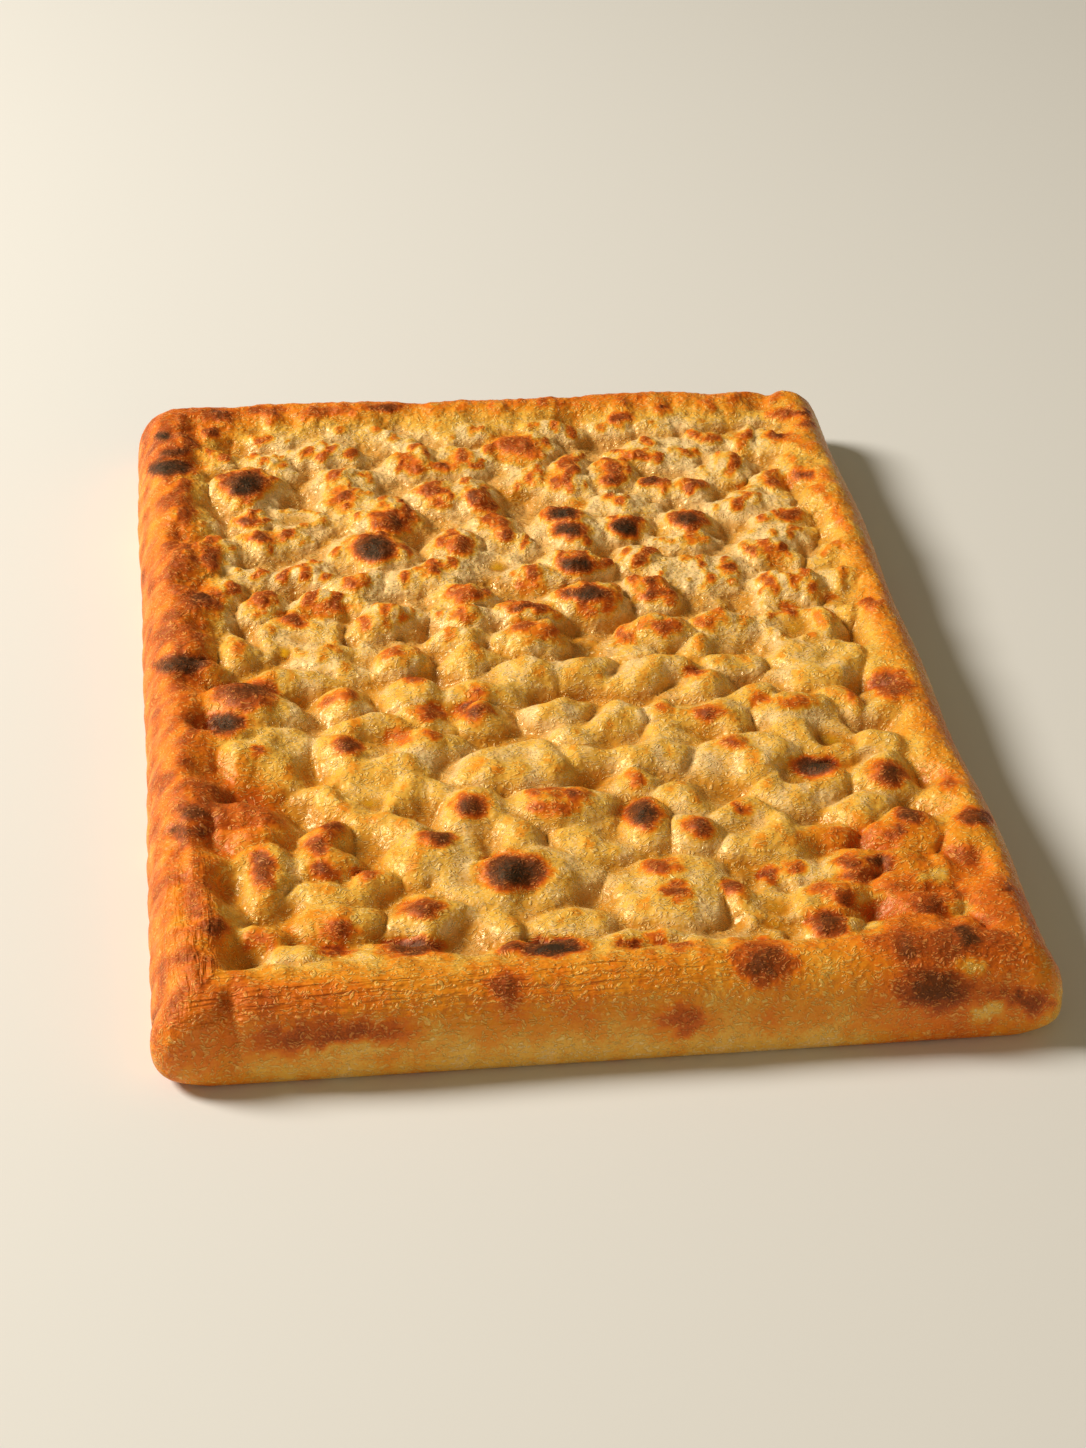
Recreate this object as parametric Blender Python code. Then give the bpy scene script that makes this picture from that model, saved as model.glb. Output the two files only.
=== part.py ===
# A schiacciata: a flat oven bread baked in a rectangular tin and poked all over, with oil in some pokes.
# Metres, +Z up. The origin is the middle of the underside. X runs across the bread, and Y from front to back.

import math
import random

import bmesh
import bpy
import numpy as np

MM = 0.001

# Driving dimensions, in millimetres
WIDTH = 290.0
LENGTH = 389.0
HEIGHT = 33.0
CORNER_RADIUS = 19.0  # of the outline, seen from above
CORNER_PUSH = (5.0, 4.0, 2.0, 2.6)  # low bulges in the corners: front left and right, back left and right
CELL = 5.6  # spacing of the mesh over the top

# Side of the bread, from the underside out to its widest line and back in over the shoulder
FOOT_INSET = 3.0
FOOT_HEIGHT = 8.0
SHOULDER_INSET = 15.0
CREST_HEIGHT = 28.5
SIDE_STEPS = 60
TOP_EDGE = (14.0, 2.0)  # sheet outside and inside the crest over which the relief of the top sets in

# Relief of the top
FLOOR_DROP = 8.5  # from the crest of the rim down to the floor between the pillows
FLOOR = CREST_HEIGHT - FLOOR_DROP
RIM_BAND = 17.0  # how far the rim slopes down in from its crest
RIM_WAVE = 4.0  # and how unevenly
RIM_WAVE_LENGTH = 55.0
BLEND = 0.7  # softness of the crease where two pillows meet
SPREAD = 1.42  # how far a pillow runs out past its noted half size
PILLOW_WIDTH = 1.08  # times the width noted for a pillow or a poke
PILLOW_SCALE = 1.13  # times a pillow's noted height
POKE_SCALE = 1.35  # times a poke's noted depth
POKE_FLARE = 1.2
POKE_POWER = 1.6  # 2 gives a poke the round lip of a bell curve, less a sharper bottom
WARP = 1.7  # how far the pillows' round outlines are pushed out of shape
WARP_LENGTH = 36.0
LUMP_STEP = 13.0  # small lumps over the back half: spacing, half size and height
LUMP_SIZE = 6.0
LUMP_HEIGHT = 1.05
LUMPS_FROM = (-10.0, 40.0)  # Y where they begin, and where they are at full height
RIB_SPACING = 18.0  # ribs that the tin's left wall leaves on the rim
RIB_HEIGHT = 1.1
RIBS_FROM = (60.0, 110.0)  # distance left of the middle
SIDE_FOOT = (3.0, 14.0)  # sheet up from the underside over which ribs and swells set in
SIDE_TOP = (4.0, 14.0)  # and over which they fade in from the crest
WOBBLE = 0.5  # unevenness of the outline
WOBBLE_LENGTH = 90.0
SIDE_SWELLS = ((-1, -130, 50, 1.3), (1, -45, 60, -1.6))  # side, middle along it, half length, swell
SWELLS_FROM = (100.0, 130.0)  # distance from the middle
CORNER_FADE = (22.0, 4.0)  # sheet short of the crest over which a corner's bulge fades
CORNER_FOOT = (0.0, 8.0)  # and up from the underside over which it sets in
FOLD_FOOT = (4.0, 12.0)  # the same for a fold
WAVES = 7  # random waves added up wherever the dough is uneven
SEED = 11

# Oil
OIL_DEPTH = 1.3
OIL_GAP = 0.3
OIL_SIDES = 20
BASIN_LIFT = 0.8  # the bottom of an oily poke over the floor
BASIN_BOWL = 1.5  # rise of the basin from its middle to the pool's edge
BASIN_RUN_OUT = (0.7, 2.3)  # where the basin starts and ends running out into the dough, in pool sizes

# The places below are as seen from EYE on to a level NOTED_LEVEL above the underside. seen_at() slides each
# one along the line of sight to its own height, so a tall bubble and a deep poke both land where they are.
EYE = (-132.0, -811.0, 579.0)
NOTED_LEVEL = 24.0

# Pillows by rows from front to back: y, then (x, half width, half length, height over the floor) for each
PILLOWS = (
    (-175, ((48, 11, 8, 7),)),
    (-168, ((-70, 12, 7, 6), (95, 17, 12, 9), (116, 8, 9, 9), (55, 9, 6, 5))),
    (-162, (
        (-100, 11, 8, 7), (-66, 13, 6, 7), (-18, 16, 6, 9), (10, 17, 6, 8.5), (36, 9, 7, 5),
        (73, 11, 9, 9),
    )),
    (-151, (
        (-113, 10, 7, 7), (-36, 9, 7, 5), (-12, 12, 8, 5), (72, 11, 10, 7.5), (107, 13, 8, 8.5),
        (133, 9, 10, 8),
    )),
    (-143, (
        (-84, 11, 8, 7), (-57, 12, 9, 7.5), (24, 13, 10, 7), (44, 6, 8, 6), (78, 10, 8, 8.5),
        (105, 14, 8, 8.5),
    )),
    (-131, (
        (-92, 13, 9, 6), (25, 17, 11, 7), (62, 12, 7, 7), (88, 11, 8, 8.5), (107, 13, 8, 8.5),
        (125, 12, 10, 9),
    )),
    (-124, ((-25, 19, 14, 9.5), (-107, 9, 10, 8), (-74, 9, 6, 6))),
    (-110, (
        (-50, 14, 13, 8), (-88, 9, 8, 7), (-108, 9, 8, 8), (62, 15, 12, 8), (80, 11, 8, 7),
        (114, 13, 10, 8.5),
    )),
    (-105, ((40, 8, 10, 8), (-25, 11, 10, 6.5), (134, 8, 10, 9), (8, 14, 12, 6.5))),
    (-98, (
        (22, 9, 11, 9), (56, 10, 9, 7), (-62, 13, 10, 6.5), (-84, 8, 7, 7), (-116, 12, 9, 8.5),
        (98, 10, 9, 6.5),
    )),
    (-87, (
        (-8, 15, 11, 8.5), (-34, 12, 11, 7.5), (38, 12, 10, 6.5), (-112, 12, 11, 8.5),
        (74, 11, 9, 6.5),
    )),
    (-77, (
        (86, 12, 10, 9), (112, 12, 11, 9), (24, 12, 9, 6.5), (-60, 19, 10, 6), (-82, 11, 9, 5),
        (132, 8, 14, 8.5),
    )),
    (-62, (
        (-18, 20, 12, 8.5), (68, 19, 14, 8.5), (30, 17, 11, 7), (8, 13, 9, 7), (-62, 19, 12, 6.5),
        (110, 14, 11, 7.5),
    )),
    (-50, (
        (-104, 17, 14, 8), (-75, 13, 11, 7.5), (-50, 14, 9, 7.5), (90, 13, 14, 7), (12, 12, 8, 6),
        (42, 12, 9, 6.5),
    )),
    (-38, (
        (-118, 14, 8, 8.5), (-66, 13, 8, 7), (22, 13, 10, 7.5), (39, 9, 10, 7.5), (55, 14, 11, 8.5),
        (88, 14, 10, 8),
    )),
    (-32, (
        (-43, 12, 8, 7.5), (-26, 10, 8, 7.5), (3, 13, 8, 7), (75, 9, 9, 7), (108, 9, 9, 7.5),
        (126, 13, 10, 9),
    )),
    (-18, (
        (-74, 12, 8, 7.5), (-110, 17, 12, 9.5), (-50, 11, 9, 7), (-27, 14, 9, 6.5), (55, 10, 9, 7),
        (92, 9, 9, 6),
    )),
    (-8, (
        (-92, 13, 8, 6), (-8, 11, 9, 7), (16, 14, 8, 6), (41, 14, 9, 7.5), (72, 10, 8, 6),
        (106, 15, 15, 7.5),
    )),
    (5, (
        (-131, 11, 8, 8.5), (-72, 12, 10, 5), (-53, 9, 8, 6.5), (-22, 12, 8, 7), (34, 7, 9, 6),
        (60, 10, 8, 5.5),
    )),
    (16, (
        (-28, 9, 8, 7), (-4, 11, 9, 8.5), (48, 12, 9, 7.5), (70, 11, 8, 5.5), (104, 13, 14, 7.5),
        (-112, 8, 9, 5.5),
    )),
    (31, (
        (-124, 9, 8, 7), (-88, 10, 8, 7), (-55, 13, 8, 6), (-25, 9, 7, 7), (0, 12, 7, 7),
        (128, 9, 12, 8),
    )),
    (42, (
        (24, 11, 9, 9), (-74, 12, 7, 7), (-100, 7, 9, 7), (-23, 9, 9, 7.5), (48, 9, 9, 7),
        (104, 13, 13, 7),
    )),
    (55, (
        (-119, 9, 10, 8), (-62, 10, 7, 6.5), (4, 9, 7, 6.5), (64, 12, 9, 6), (-40, 11, 8, 6),
        (82, 9, 9, 6),
    )),
    (64, (
        (23, 10, 9, 8.5), (-30, 9, 7, 7), (47, 8, 8, 6.5), (-84, 12, 8, 6), (100, 12, 10, 6.5),
        (-102, 9, 7, 6),
    )),
    (79, (
        (-54, 12, 12, 9.5), (-21, 10, 10, 8), (-118, 10, 14, 9), (-3, 8, 12, 7), (110, 12, 9, 7),
        (66, 12, 8, 6),
    )),
    (90, (
        (23, 11, 13, 9.5), (46, 9, 9, 8.5), (71, 9, 9, 8), (-94, 12, 8, 7), (-7, 8, 11, 7),
        (112, 10, 9, 7.5),
    )),
    (104, (
        (-48, 11, 12, 7.5), (-101, 7, 7, 7), (97, 12, 10, 7), (-131, 10, 12, 8.5), (-78, 9, 8, 5),
        (48, 12, 9, 6),
    )),
    (117, (
        (-64, 10, 12, 7), (-27, 9, 11, 7.5), (-11, 8, 12, 7.5), (80, 8, 8, 7.5), (62, 8, 8, 7.5),
        (115, 8, 13, 7.5),
    )),
    (130, (
        (-101, 12, 13, 10), (47, 8, 11, 8.5), (30, 9, 13, 7.5), (-60, 13, 9, 6), (12, 10, 8, 6),
        (96, 11, 9, 6),
    )),
    (146, (
        (-133, 13, 12, 9.5), (-90, 12, 9, 7), (-32, 11, 10, 7), (-15, 10, 10, 8), (62, 12, 9, 6),
        (82, 10, 9, 6.5),
    )),
    (153, (
        (-71, 14, 9, 8), (10, 13, 12, 8.5), (92, 9, 8, 7), (122, 11, 10, 8), (-116, 10, 10, 8),
        (105, 8, 9, 7),
    )),
    (168, (
        (-133, 11, 12, 9), (-112, 10, 9, 8), (-92, 13, 8, 7), (-50, 20, 11, 7), (-12, 13, 9, 7),
        (24, 14, 9, 7),
    )),
    (175, (
        (58, 10, 9, 8), (84, 15, 9, 7), (-72, 18, 7, 7.5), (130, 13, 9, 9), (108, 12, 9, 7),
        (2, 14, 9, 7),
    )),
)

# Finger pokes, set down and written the same way: (x, half size, depth below the floor)
POKES = (
    (-172, ((-119, 8, 4), (-24, 7, 3), (10, 7, 2.5), (57, 7, 4))),
    (-165, ((-66, 7, 3), (-45, 8, 3.5), (35, 7, 2.5), (85, 6, 3))),
    (-148, ((-97, 7, 3), (-70, 8, 2), (-24, 9, 3.5), (-4, 9, 3), (54, 9, 4), (122, 8, 3.5))),
    (-139, ((-121, 8, 4.5), (-40, 8, 3), (10, 9, 2), (54, 7, 3))),
    (-119, (
        (-71, 9, 4.5), (-38, 7, 3), (10, 10, 4), (52, 8, 4), (75, 8, 3.5), (118, 7, 3.5), (-122, 8, 4),
    )),
    (-100, ((-95, 9, 5), (-55, 9, 4), (-22, 7, 2), (46, 7, 4), (68, 7, 2), (84, 8, 3), (116, 8, 5))),
    (-88, ((7, 8, 4), (32, 8, 2.5), (50, 8, 3.5), (-71, 9, 4.5), (78, 8, 4.5), (98, 9, 3))),
    (-77, ((-90, 10, 5.5), (-42, 9, 3.5), (-20, 8, 3), (65, 8, 2.5), (-124, 7, 4), (-106, 8, 2))),
    (-66, ((-66, 8, 4), (46, 9, 4), (15, 8, 3.5), (95, 9, 4.5), (111, 8, 4.5), (-96, 8, 3))),
    (-50, (
        (-123, 8, 4.5), (-38, 9, 4.5), (-19, 7, 3.5), (9, 8, 3.5), (28, 8, 3.5), (47, 8, 3),
        (110, 8, 5),
    )),
    (-35, ((-88, 11, 5.5), (-63, 8, 4), (-5, 8, 3), (12, 8, 3.5), (44, 7, 4), (66, 7, 3), (82, 7, 3))),
    (-24, ((-127, 8, 4), (-40, 8, 3), (-18, 7, 3), (26, 8, 2.5), (100, 8, 3), (70, 7, 2.5))),
    (-10, (
        (-68, 8, 4), (-38, 8, 3.5), (-17, 8, 3.5), (28, 9, 3.5), (48, 7, 2.5), (66, 7, 2.5),
        (115, 8, 4.5),
    )),
    (9, (
        (-88, 12, 5), (-120, 7, 3.5), (-40, 8, 4), (16, 8, 3), (30, 7, 3.5), (96, 9, 4.5), (117, 8, 6),
        (-106, 8, 2.5),
    )),
    (20, ((-100, 8, 3), (-71, 8, 3.5), (12, 8, 3), (37, 7, 3), (81, 8, 3), (58, 8, 2), (122, 6, 4))),
    (38, (
        (-125, 7, 3.5), (-87, 7, 3), (-8, 7, 3), (97, 7, 3.5), (82, 8, 3.5), (116, 8, 4), (60, 7, 2.5),
    )),
    (54, ((-105, 7, 3.5), (-9, 9, 4.5), (-66, 7, 2.5), (34, 7, 2.5), (115, 8, 4.5), (-92, 7, 3))),
    (70, (
        (-126, 7, 3.5), (-92, 8, 3.5), (-38, 7, 3), (10, 8, 2.5), (84, 8, 2), (116, 8, 3.5),
        (52, 8, 2.5),
    )),
    (96, (
        (-84, 11, 4.5), (-68, 8, 3), (-36, 7, 2.5), (4, 9, 3), (85, 8, 3.5), (116, 8, 4), (56, 8, 2.5),
        (-116, 7, 3),
    )),
    (112, ((-45, 7, 2), (0, 8, 3), (104, 7, 3), (-85, 8, 2.5), (40, 7, 2.5), (124, 7, 2.5))),
    (128, ((-80, 8, 2.5), (-20, 8, 3), (5, 9, 3), (80, 7, 2), (-122, 7, 3.5), (108, 7, 2))),
    (142, ((-108, 8, 4), (-52, 8, 3), (120, 8, 3.5), (45, 7, 2.5), (95, 7, 2), (-5, 7, 2.5))),
    (160, (
        (-100, 8, 3), (-84, 8, 2), (38, 8, 2.5), (76, 8, 2), (-35, 8, 2.5), (60, 7, 2), (112, 7, 2.5),
    )),
    (175, ((32, 6, 4.5), (-104, 7, 2.5), (96, 8, 2), (-28, 8, 2))),
)

# Oil lying in pokes: (x, y, half width, half length)
POOLS = (
    (-88, 12, 8.5, 6.5),
    (-84, 95, 8, 6),
    (-9, 55, 7, 5.5),
    (96, 5, 6.5, 7),
    (-71, -89, 6, 5.5),
    (95, -66, 6.5, 6),
    (78, -88, 6, 5.5),
    (55, -155, 6.5, 6.5),
)

# Folds in the rim where the dough was tucked into the tin's corners: start, end, half width, depth
FOLDS = (
    ((-122, -182), (-127, -216), 4.5, 3.0),
    ((-136, -100), (-133, -150), 3.5, 2.0),
    ((126, 196), (120, 176), 3.5, 2.0),
)


def smooth(low, high, value):
    """0 below low, 1 above high, and an even curve between."""
    t = np.clip((value - low) / (high - low), 0, 1)
    return t * t * (3 - 2 * t)


def seen_at(x, y, z):
    """The place, at height z, that is noted at x, y on the level NOTED_LEVEL."""
    reach = (EYE[2] - z) / (EYE[2] - NOTED_LEVEL)
    return EYE[0] + (x - EYE[0]) * reach, EYE[1] + (y - EYE[1]) * reach


def side_profile():
    """Length along the side from the underside up, with its inset from the outline and its height."""
    quarter = np.linspace(0, math.pi / 2, SIDE_STEPS)
    foot_x = FOOT_INSET * (1 - np.sin(quarter))
    foot_z = FOOT_HEIGHT * (1 - np.cos(quarter))
    shoulder_x = SHOULDER_INSET * (1 - np.cos(quarter))
    shoulder_z = FOOT_HEIGHT + (CREST_HEIGHT - FOOT_HEIGHT) * np.sin(quarter)
    inset = np.concatenate([foot_x, shoulder_x[1:]])
    height = np.concatenate([foot_z, shoulder_z[1:]])
    along = np.concatenate([[0], np.cumsum(np.hypot(np.diff(inset), np.diff(height)))])
    return along, inset, height


ALONG, INSET, RISE = side_profile()
SIDE = ALONG[-1]  # sheet that the side takes up
SPARE = SIDE - SHOULDER_INSET  # how much the flat sheet is larger all round than the bread


def flat_sheet(u, v):
    """The square -1..1 as a flat rounded rectangle, its distance in from the edge, and the way out."""
    half = np.array([WIDTH, LENGTH]) / 2 + SPARE
    radius = CORNER_RADIUS + SPARE
    straight = half - radius
    square = np.stack([u, v], 1)
    inner = np.abs(square) * half - straight
    part = np.clip(inner / radius, 0, 1)
    round_off = part * np.sqrt(1 - part[:, ::-1] ** 2 / 2)
    place = np.where(inner > 0, straight + radius * round_off, np.abs(square) * half)
    beyond = place - straight
    in_corner = (beyond > 0).all(1)
    out = np.where(beyond[:, :1] >= beyond[:, 1:], [[1.0, 0.0]], [[0.0, 1.0]])
    edge = radius - beyond.max(1)
    away = np.hypot(*np.maximum(beyond, 1e-9).T)
    out = np.where(in_corner[:, None], np.maximum(beyond, 0) / away[:, None], out)
    edge = np.where(in_corner, radius - away, edge)
    sign = np.where(square < 0, -1, 1)
    return place * sign, edge, out * sign


def uneven(x, y, length, seed):
    """Random waves about this long in every direction, mostly between -1 and 1."""
    rng = random.Random(seed)
    total = np.zeros_like(x)
    for _ in range(WAVES):
        turn = rng.uniform(0, 2 * math.pi)
        number = 2 * math.pi / (length * rng.uniform(0.7, 1.4))
        phase = rng.uniform(0, 2 * math.pi)
        total += np.sin((x * math.cos(turn) + y * math.sin(turn)) * number + phase)
    return total / math.sqrt(WAVES)


def warped(x, y):
    """The same places pushed about a little, so that no pillow or poke is quite round."""
    return x + WARP * uneven(x, y, WARP_LENGTH, SEED), y + WARP * uneven(x, y, WARP_LENGTH, SEED + 1)


def pillow_heights(x, y, edge):
    """The pillows and the rim joined with a soft crease between them, over the floor."""
    band = RIM_BAND + RIM_WAVE * uneven(x, y, RIM_WAVE_LENGTH, SEED + 2)
    rim = FLOOR_DROP * (1 - (np.maximum(edge - SIDE, 0) / band) ** 2)
    total = 1 + np.exp(rim / BLEND)
    for row_y, row in PILLOWS:
        for row_x, wide, long, noted_high in row:
            high = noted_high * PILLOW_SCALE
            cx, cy = seen_at(row_x, row_y, FLOOR + high)
            away = np.hypot((x - cx) / (wide * PILLOW_WIDTH), (y - cy) / long) / SPREAD
            total += np.exp(high * (1 - away**2) / BLEND)
    return BLEND * np.log(total)


def poke_depths(x, y):
    total = np.zeros_like(x)
    for row_y, row in POKES:
        for row_x, size, noted_deep in row:
            deep = noted_deep * POKE_SCALE
            cx, cy = seen_at(row_x, row_y, FLOOR - deep)
            away = np.hypot((x - cx) / PILLOW_WIDTH, y - cy) / (size * POKE_FLARE)
            total += (deep * np.exp(-(away**POKE_POWER))) ** 3
    return np.cbrt(total)


def hollowed(x, y, dough):
    """The relief with a rounded basin pressed in wherever oil lies."""
    for pool_x, pool_y, wide, long in POOLS:
        cx, cy = seen_at(pool_x, pool_y, FLOOR)
        away = np.hypot((x - cx) / wide, (y - cy) / long)
        basin = BASIN_BOWL * away**2 - FLOOR_DROP + BASIN_LIFT
        dough = dough + (basin - dough) * (1 - smooth(*BASIN_RUN_OUT, away))
    return dough


def lump_heights(x, y):
    """Small lumps all over the back half, where the dough rose in curds and not in pillows."""
    rng = random.Random(SEED)
    total = np.zeros_like(x)
    for row in range(int(LENGTH / 2 / LUMP_STEP)):
        for column in range(int(WIDTH / LUMP_STEP)):
            cx = -WIDTH / 2 + (column + rng.uniform(0.1, 0.9)) * LUMP_STEP
            cy = (row + rng.uniform(0.1, 0.9)) * LUMP_STEP
            size = LUMP_SIZE * rng.uniform(0.75, 1.25)
            high = LUMP_HEIGHT * rng.uniform(0.4, 1.6)
            total = np.maximum(total, high * np.exp(-((x - cx) ** 2 + (y - cy) ** 2) / size**2))
    return total


def fold_depths(x, y):
    total = np.zeros_like(x)
    for start, end, half, deep in FOLDS:
        run = (end[0] - start[0], end[1] - start[1])
        share = ((x - start[0]) * run[0] + (y - start[1]) * run[1]) / (run[0] ** 2 + run[1] ** 2)
        share = np.clip(share, 0, 1)
        away = np.hypot(x - start[0] - share * run[0], y - start[1] - share * run[1])
        total = np.maximum(total, deep * np.exp(-((away / half) ** 2)))
    return total


def rim_unevenness(place, edge):
    """Ribs on the left rim, and slow swells along all the sides."""
    x, y = place.T
    on_side = smooth(*SIDE_FOOT, edge) * (1 - smooth(*SIDE_TOP, edge - SIDE))
    ribs = RIB_HEIGHT * (np.abs(np.sin(math.pi * y / RIB_SPACING)) - 0.5) * (x < 0)
    wobble = WOBBLE * uneven(x, y, WOBBLE_LENGTH, SEED + 3)
    swell = np.zeros_like(x)
    for side, middle, half, out in SIDE_SWELLS:
        swell += out * np.exp(-(((y - middle) / half) ** 2)) * smooth(*SWELLS_FROM, side * x)
    return on_side * (ribs * smooth(*RIBS_FROM, -x) + wobble + swell)


def corner_bulge(out, edge):
    """Fullness low down in each corner, most on its diagonal."""
    push = np.where(
        out[:, 1] < 0,
        np.where(out[:, 0] < 0, CORNER_PUSH[0], CORNER_PUSH[1]),
        np.where(out[:, 0] < 0, CORNER_PUSH[2], CORNER_PUSH[3]),
    )
    diagonal = (2 * out[:, 0] * out[:, 1]) ** 2
    fade_start, fade_end = CORNER_FADE
    low_down = 1 - smooth(SIDE - fade_start, SIDE - fade_end, edge)
    return push * diagonal * low_down * smooth(*CORNER_FOOT, edge)


def bread_points(u, v):
    """Places on the bread's skin for points of the square -1..1."""
    place, edge, out = flat_sheet(u, v)
    inset = np.interp(edge, ALONG, INSET)
    height = np.interp(edge, ALONG, RISE)
    on_top = edge >= SIDE
    inset = np.where(on_top, edge - SPARE, inset)
    plan = place + out * (edge - SPARE - inset)[:, None]
    x, y = plan.T

    # The outward normal of the plain form: sideways on the sides, up on the top
    lean = np.interp(edge, ALONG, np.gradient(RISE, ALONG))
    lean = np.where(on_top, 0, lean)
    upward = np.sqrt(np.clip(1 - lean**2, 0, 1)) * np.where(edge < FOOT_HEIGHT, -1, 1)

    wx, wy = warped(x, y)
    dough = pillow_heights(wx, wy, edge) - FLOOR_DROP - poke_depths(wx, wy)
    dough += lump_heights(x, y) * smooth(*LUMPS_FROM, y)
    dough = hollowed(x, y, dough)
    outside, inside = TOP_EDGE
    inland = smooth(SIDE - outside, SIDE + inside, edge)
    relief = inland * dough + rim_unevenness(place, edge) + corner_bulge(out, edge)
    relief -= fold_depths(x, y) * smooth(*FOLD_FOOT, edge)
    above = np.maximum(height + upward * relief, 0)
    return np.column_stack([plan + out * (lean * relief)[:, None], above])


def fitted(points, low, high):
    """The points stretched by a hair so that their box is exactly the bread's."""
    size = np.array([WIDTH, LENGTH, HEIGHT])
    corner = np.array([-WIDTH / 2, -LENGTH / 2, 0.0])
    return corner + (points - low) * size / (high - low)


def material(name, colour, roughness):
    made = bpy.data.materials.new(name)
    made.use_nodes = True
    shader = made.node_tree.nodes["Principled BSDF"]
    shader.inputs["Base Color"].default_value = (*colour, 1.0)
    shader.inputs["Roughness"].default_value = roughness
    shader.inputs["Metallic"].default_value = 0.0
    return made


def new_object(name, mesh):
    made = bpy.data.objects.new(name, mesh)
    bpy.context.scene.collection.objects.link(made)
    return made


def make_bread():
    columns = round((WIDTH + 2 * SPARE) / CELL)
    rows = round((LENGTH + 2 * SPARE) / CELL)
    bm = bmesh.new()
    bmesh.ops.create_grid(bm, x_segments=columns, y_segments=rows, size=1.0)
    square = np.array([vert.co[:2] for vert in bm.verts])
    points = bread_points(*square.T)
    points = fitted(points, points.min(0), points.max(0)) * MM
    for vert, point in zip(bm.verts, points):
        vert.co = point
    rim = [edge for edge in bm.edges if edge.is_boundary]
    bmesh.ops.holes_fill(bm, edges=rim, sides=0)
    bmesh.ops.triangulate(bm, faces=bm.faces, quad_method="SHORT_EDGE")
    bmesh.ops.recalc_face_normals(bm, faces=bm.faces)
    mesh = bpy.data.meshes.new("bread")
    bm.to_mesh(mesh)
    bm.free()
    mesh.shade_smooth()
    bread = new_object("bread", mesh)
    mesh.materials.append(material("baked_crust", (0.62, 0.33, 0.09), 0.55))
    return bread


def lowest_near(mesh, x, y, reach):
    """The lowest corner of the top that lies within reach of a place, in metres."""
    near = [
        vert.co.z
        for vert in mesh.vertices
        if vert.co.z > FOOT_HEIGHT * MM and math.hypot(vert.co.x - x, vert.co.y - y) < reach
    ]
    return min(near)


def make_pool(number, bread, raised, oil, x, y, wide, long):
    """Oil that fills a poke up to a level: a round slab, less all that lies below the bread's raised skin."""
    cx, cy = seen_at(x, y, FLOOR)
    cx, cy, wide, long = (size * MM for size in (cx, cy, wide, long))
    level = lowest_near(bread.data, cx, cy, CELL * MM) + OIL_DEPTH * MM
    bm = bmesh.new()
    bmesh.ops.create_cone(
        bm, cap_ends=True, segments=OIL_SIDES, radius1=1.0, radius2=1.0, depth=2 * OIL_DEPTH * MM
    )
    bmesh.ops.scale(bm, vec=(wide, long, 1.0), verts=bm.verts)
    bmesh.ops.translate(bm, vec=(cx, cy, level - OIL_DEPTH * MM), verts=bm.verts)
    mesh = bpy.data.meshes.new(f"oil_{number}")
    bm.to_mesh(mesh)
    bm.free()
    pool = new_object(f"oil_{number}", mesh)
    mesh.materials.append(oil)
    cut = pool.modifiers.new("Below the skin", "BOOLEAN")
    cut.operation = "DIFFERENCE"
    cut.object = raised
    return pool


def make_pools(bread):
    raised = new_object("raised_skin", bread.data)
    raised.location.z = OIL_GAP * MM
    raised.hide_render = True
    raised.display_type = "WIRE"
    oil = material("olive_oil", (0.55, 0.36, 0.01), 0.08)
    for number, (x, y, wide, long) in enumerate(POOLS, 1):
        make_pool(number, bread, raised, oil, x, y, wide, long)


def main():
    for old in list(bpy.data.objects):
        bpy.data.objects.remove(old, do_unlink=True)
    bread = make_bread()
    make_pools(bread)


main()
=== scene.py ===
# A schiacciata as it comes out of its tin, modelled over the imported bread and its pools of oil
import math
import random

import bpy
import numpy as np
from mathutils import Matrix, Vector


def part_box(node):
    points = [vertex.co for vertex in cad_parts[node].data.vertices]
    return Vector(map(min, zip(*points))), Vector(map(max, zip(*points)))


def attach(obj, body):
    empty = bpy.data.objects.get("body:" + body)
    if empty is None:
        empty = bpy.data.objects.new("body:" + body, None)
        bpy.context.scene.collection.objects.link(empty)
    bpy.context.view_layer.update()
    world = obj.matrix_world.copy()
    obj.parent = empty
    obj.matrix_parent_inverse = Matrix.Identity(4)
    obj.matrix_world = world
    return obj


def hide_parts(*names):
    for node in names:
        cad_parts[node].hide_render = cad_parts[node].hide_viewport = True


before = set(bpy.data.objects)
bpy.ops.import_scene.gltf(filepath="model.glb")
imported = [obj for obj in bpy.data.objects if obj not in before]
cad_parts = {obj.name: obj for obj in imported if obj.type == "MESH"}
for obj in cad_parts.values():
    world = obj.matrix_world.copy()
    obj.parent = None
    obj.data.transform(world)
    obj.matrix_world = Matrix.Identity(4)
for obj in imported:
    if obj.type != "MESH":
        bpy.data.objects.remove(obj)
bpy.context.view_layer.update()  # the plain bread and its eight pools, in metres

mm = 0.001
breadLow, breadHigh = (np.array(corner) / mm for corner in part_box("bread"))
breadWidth, breadLength, _ = breadHigh - breadLow

# The eye of the view, in millimetres and degrees, and the level that the places below were noted on
eye = {"place": (-131.9, -811.0, 578.6), "pitch": 54.560, "yaw": -9.402, "roll": 2.795, "lens": 67.49}
notedLevel = 24.0

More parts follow.
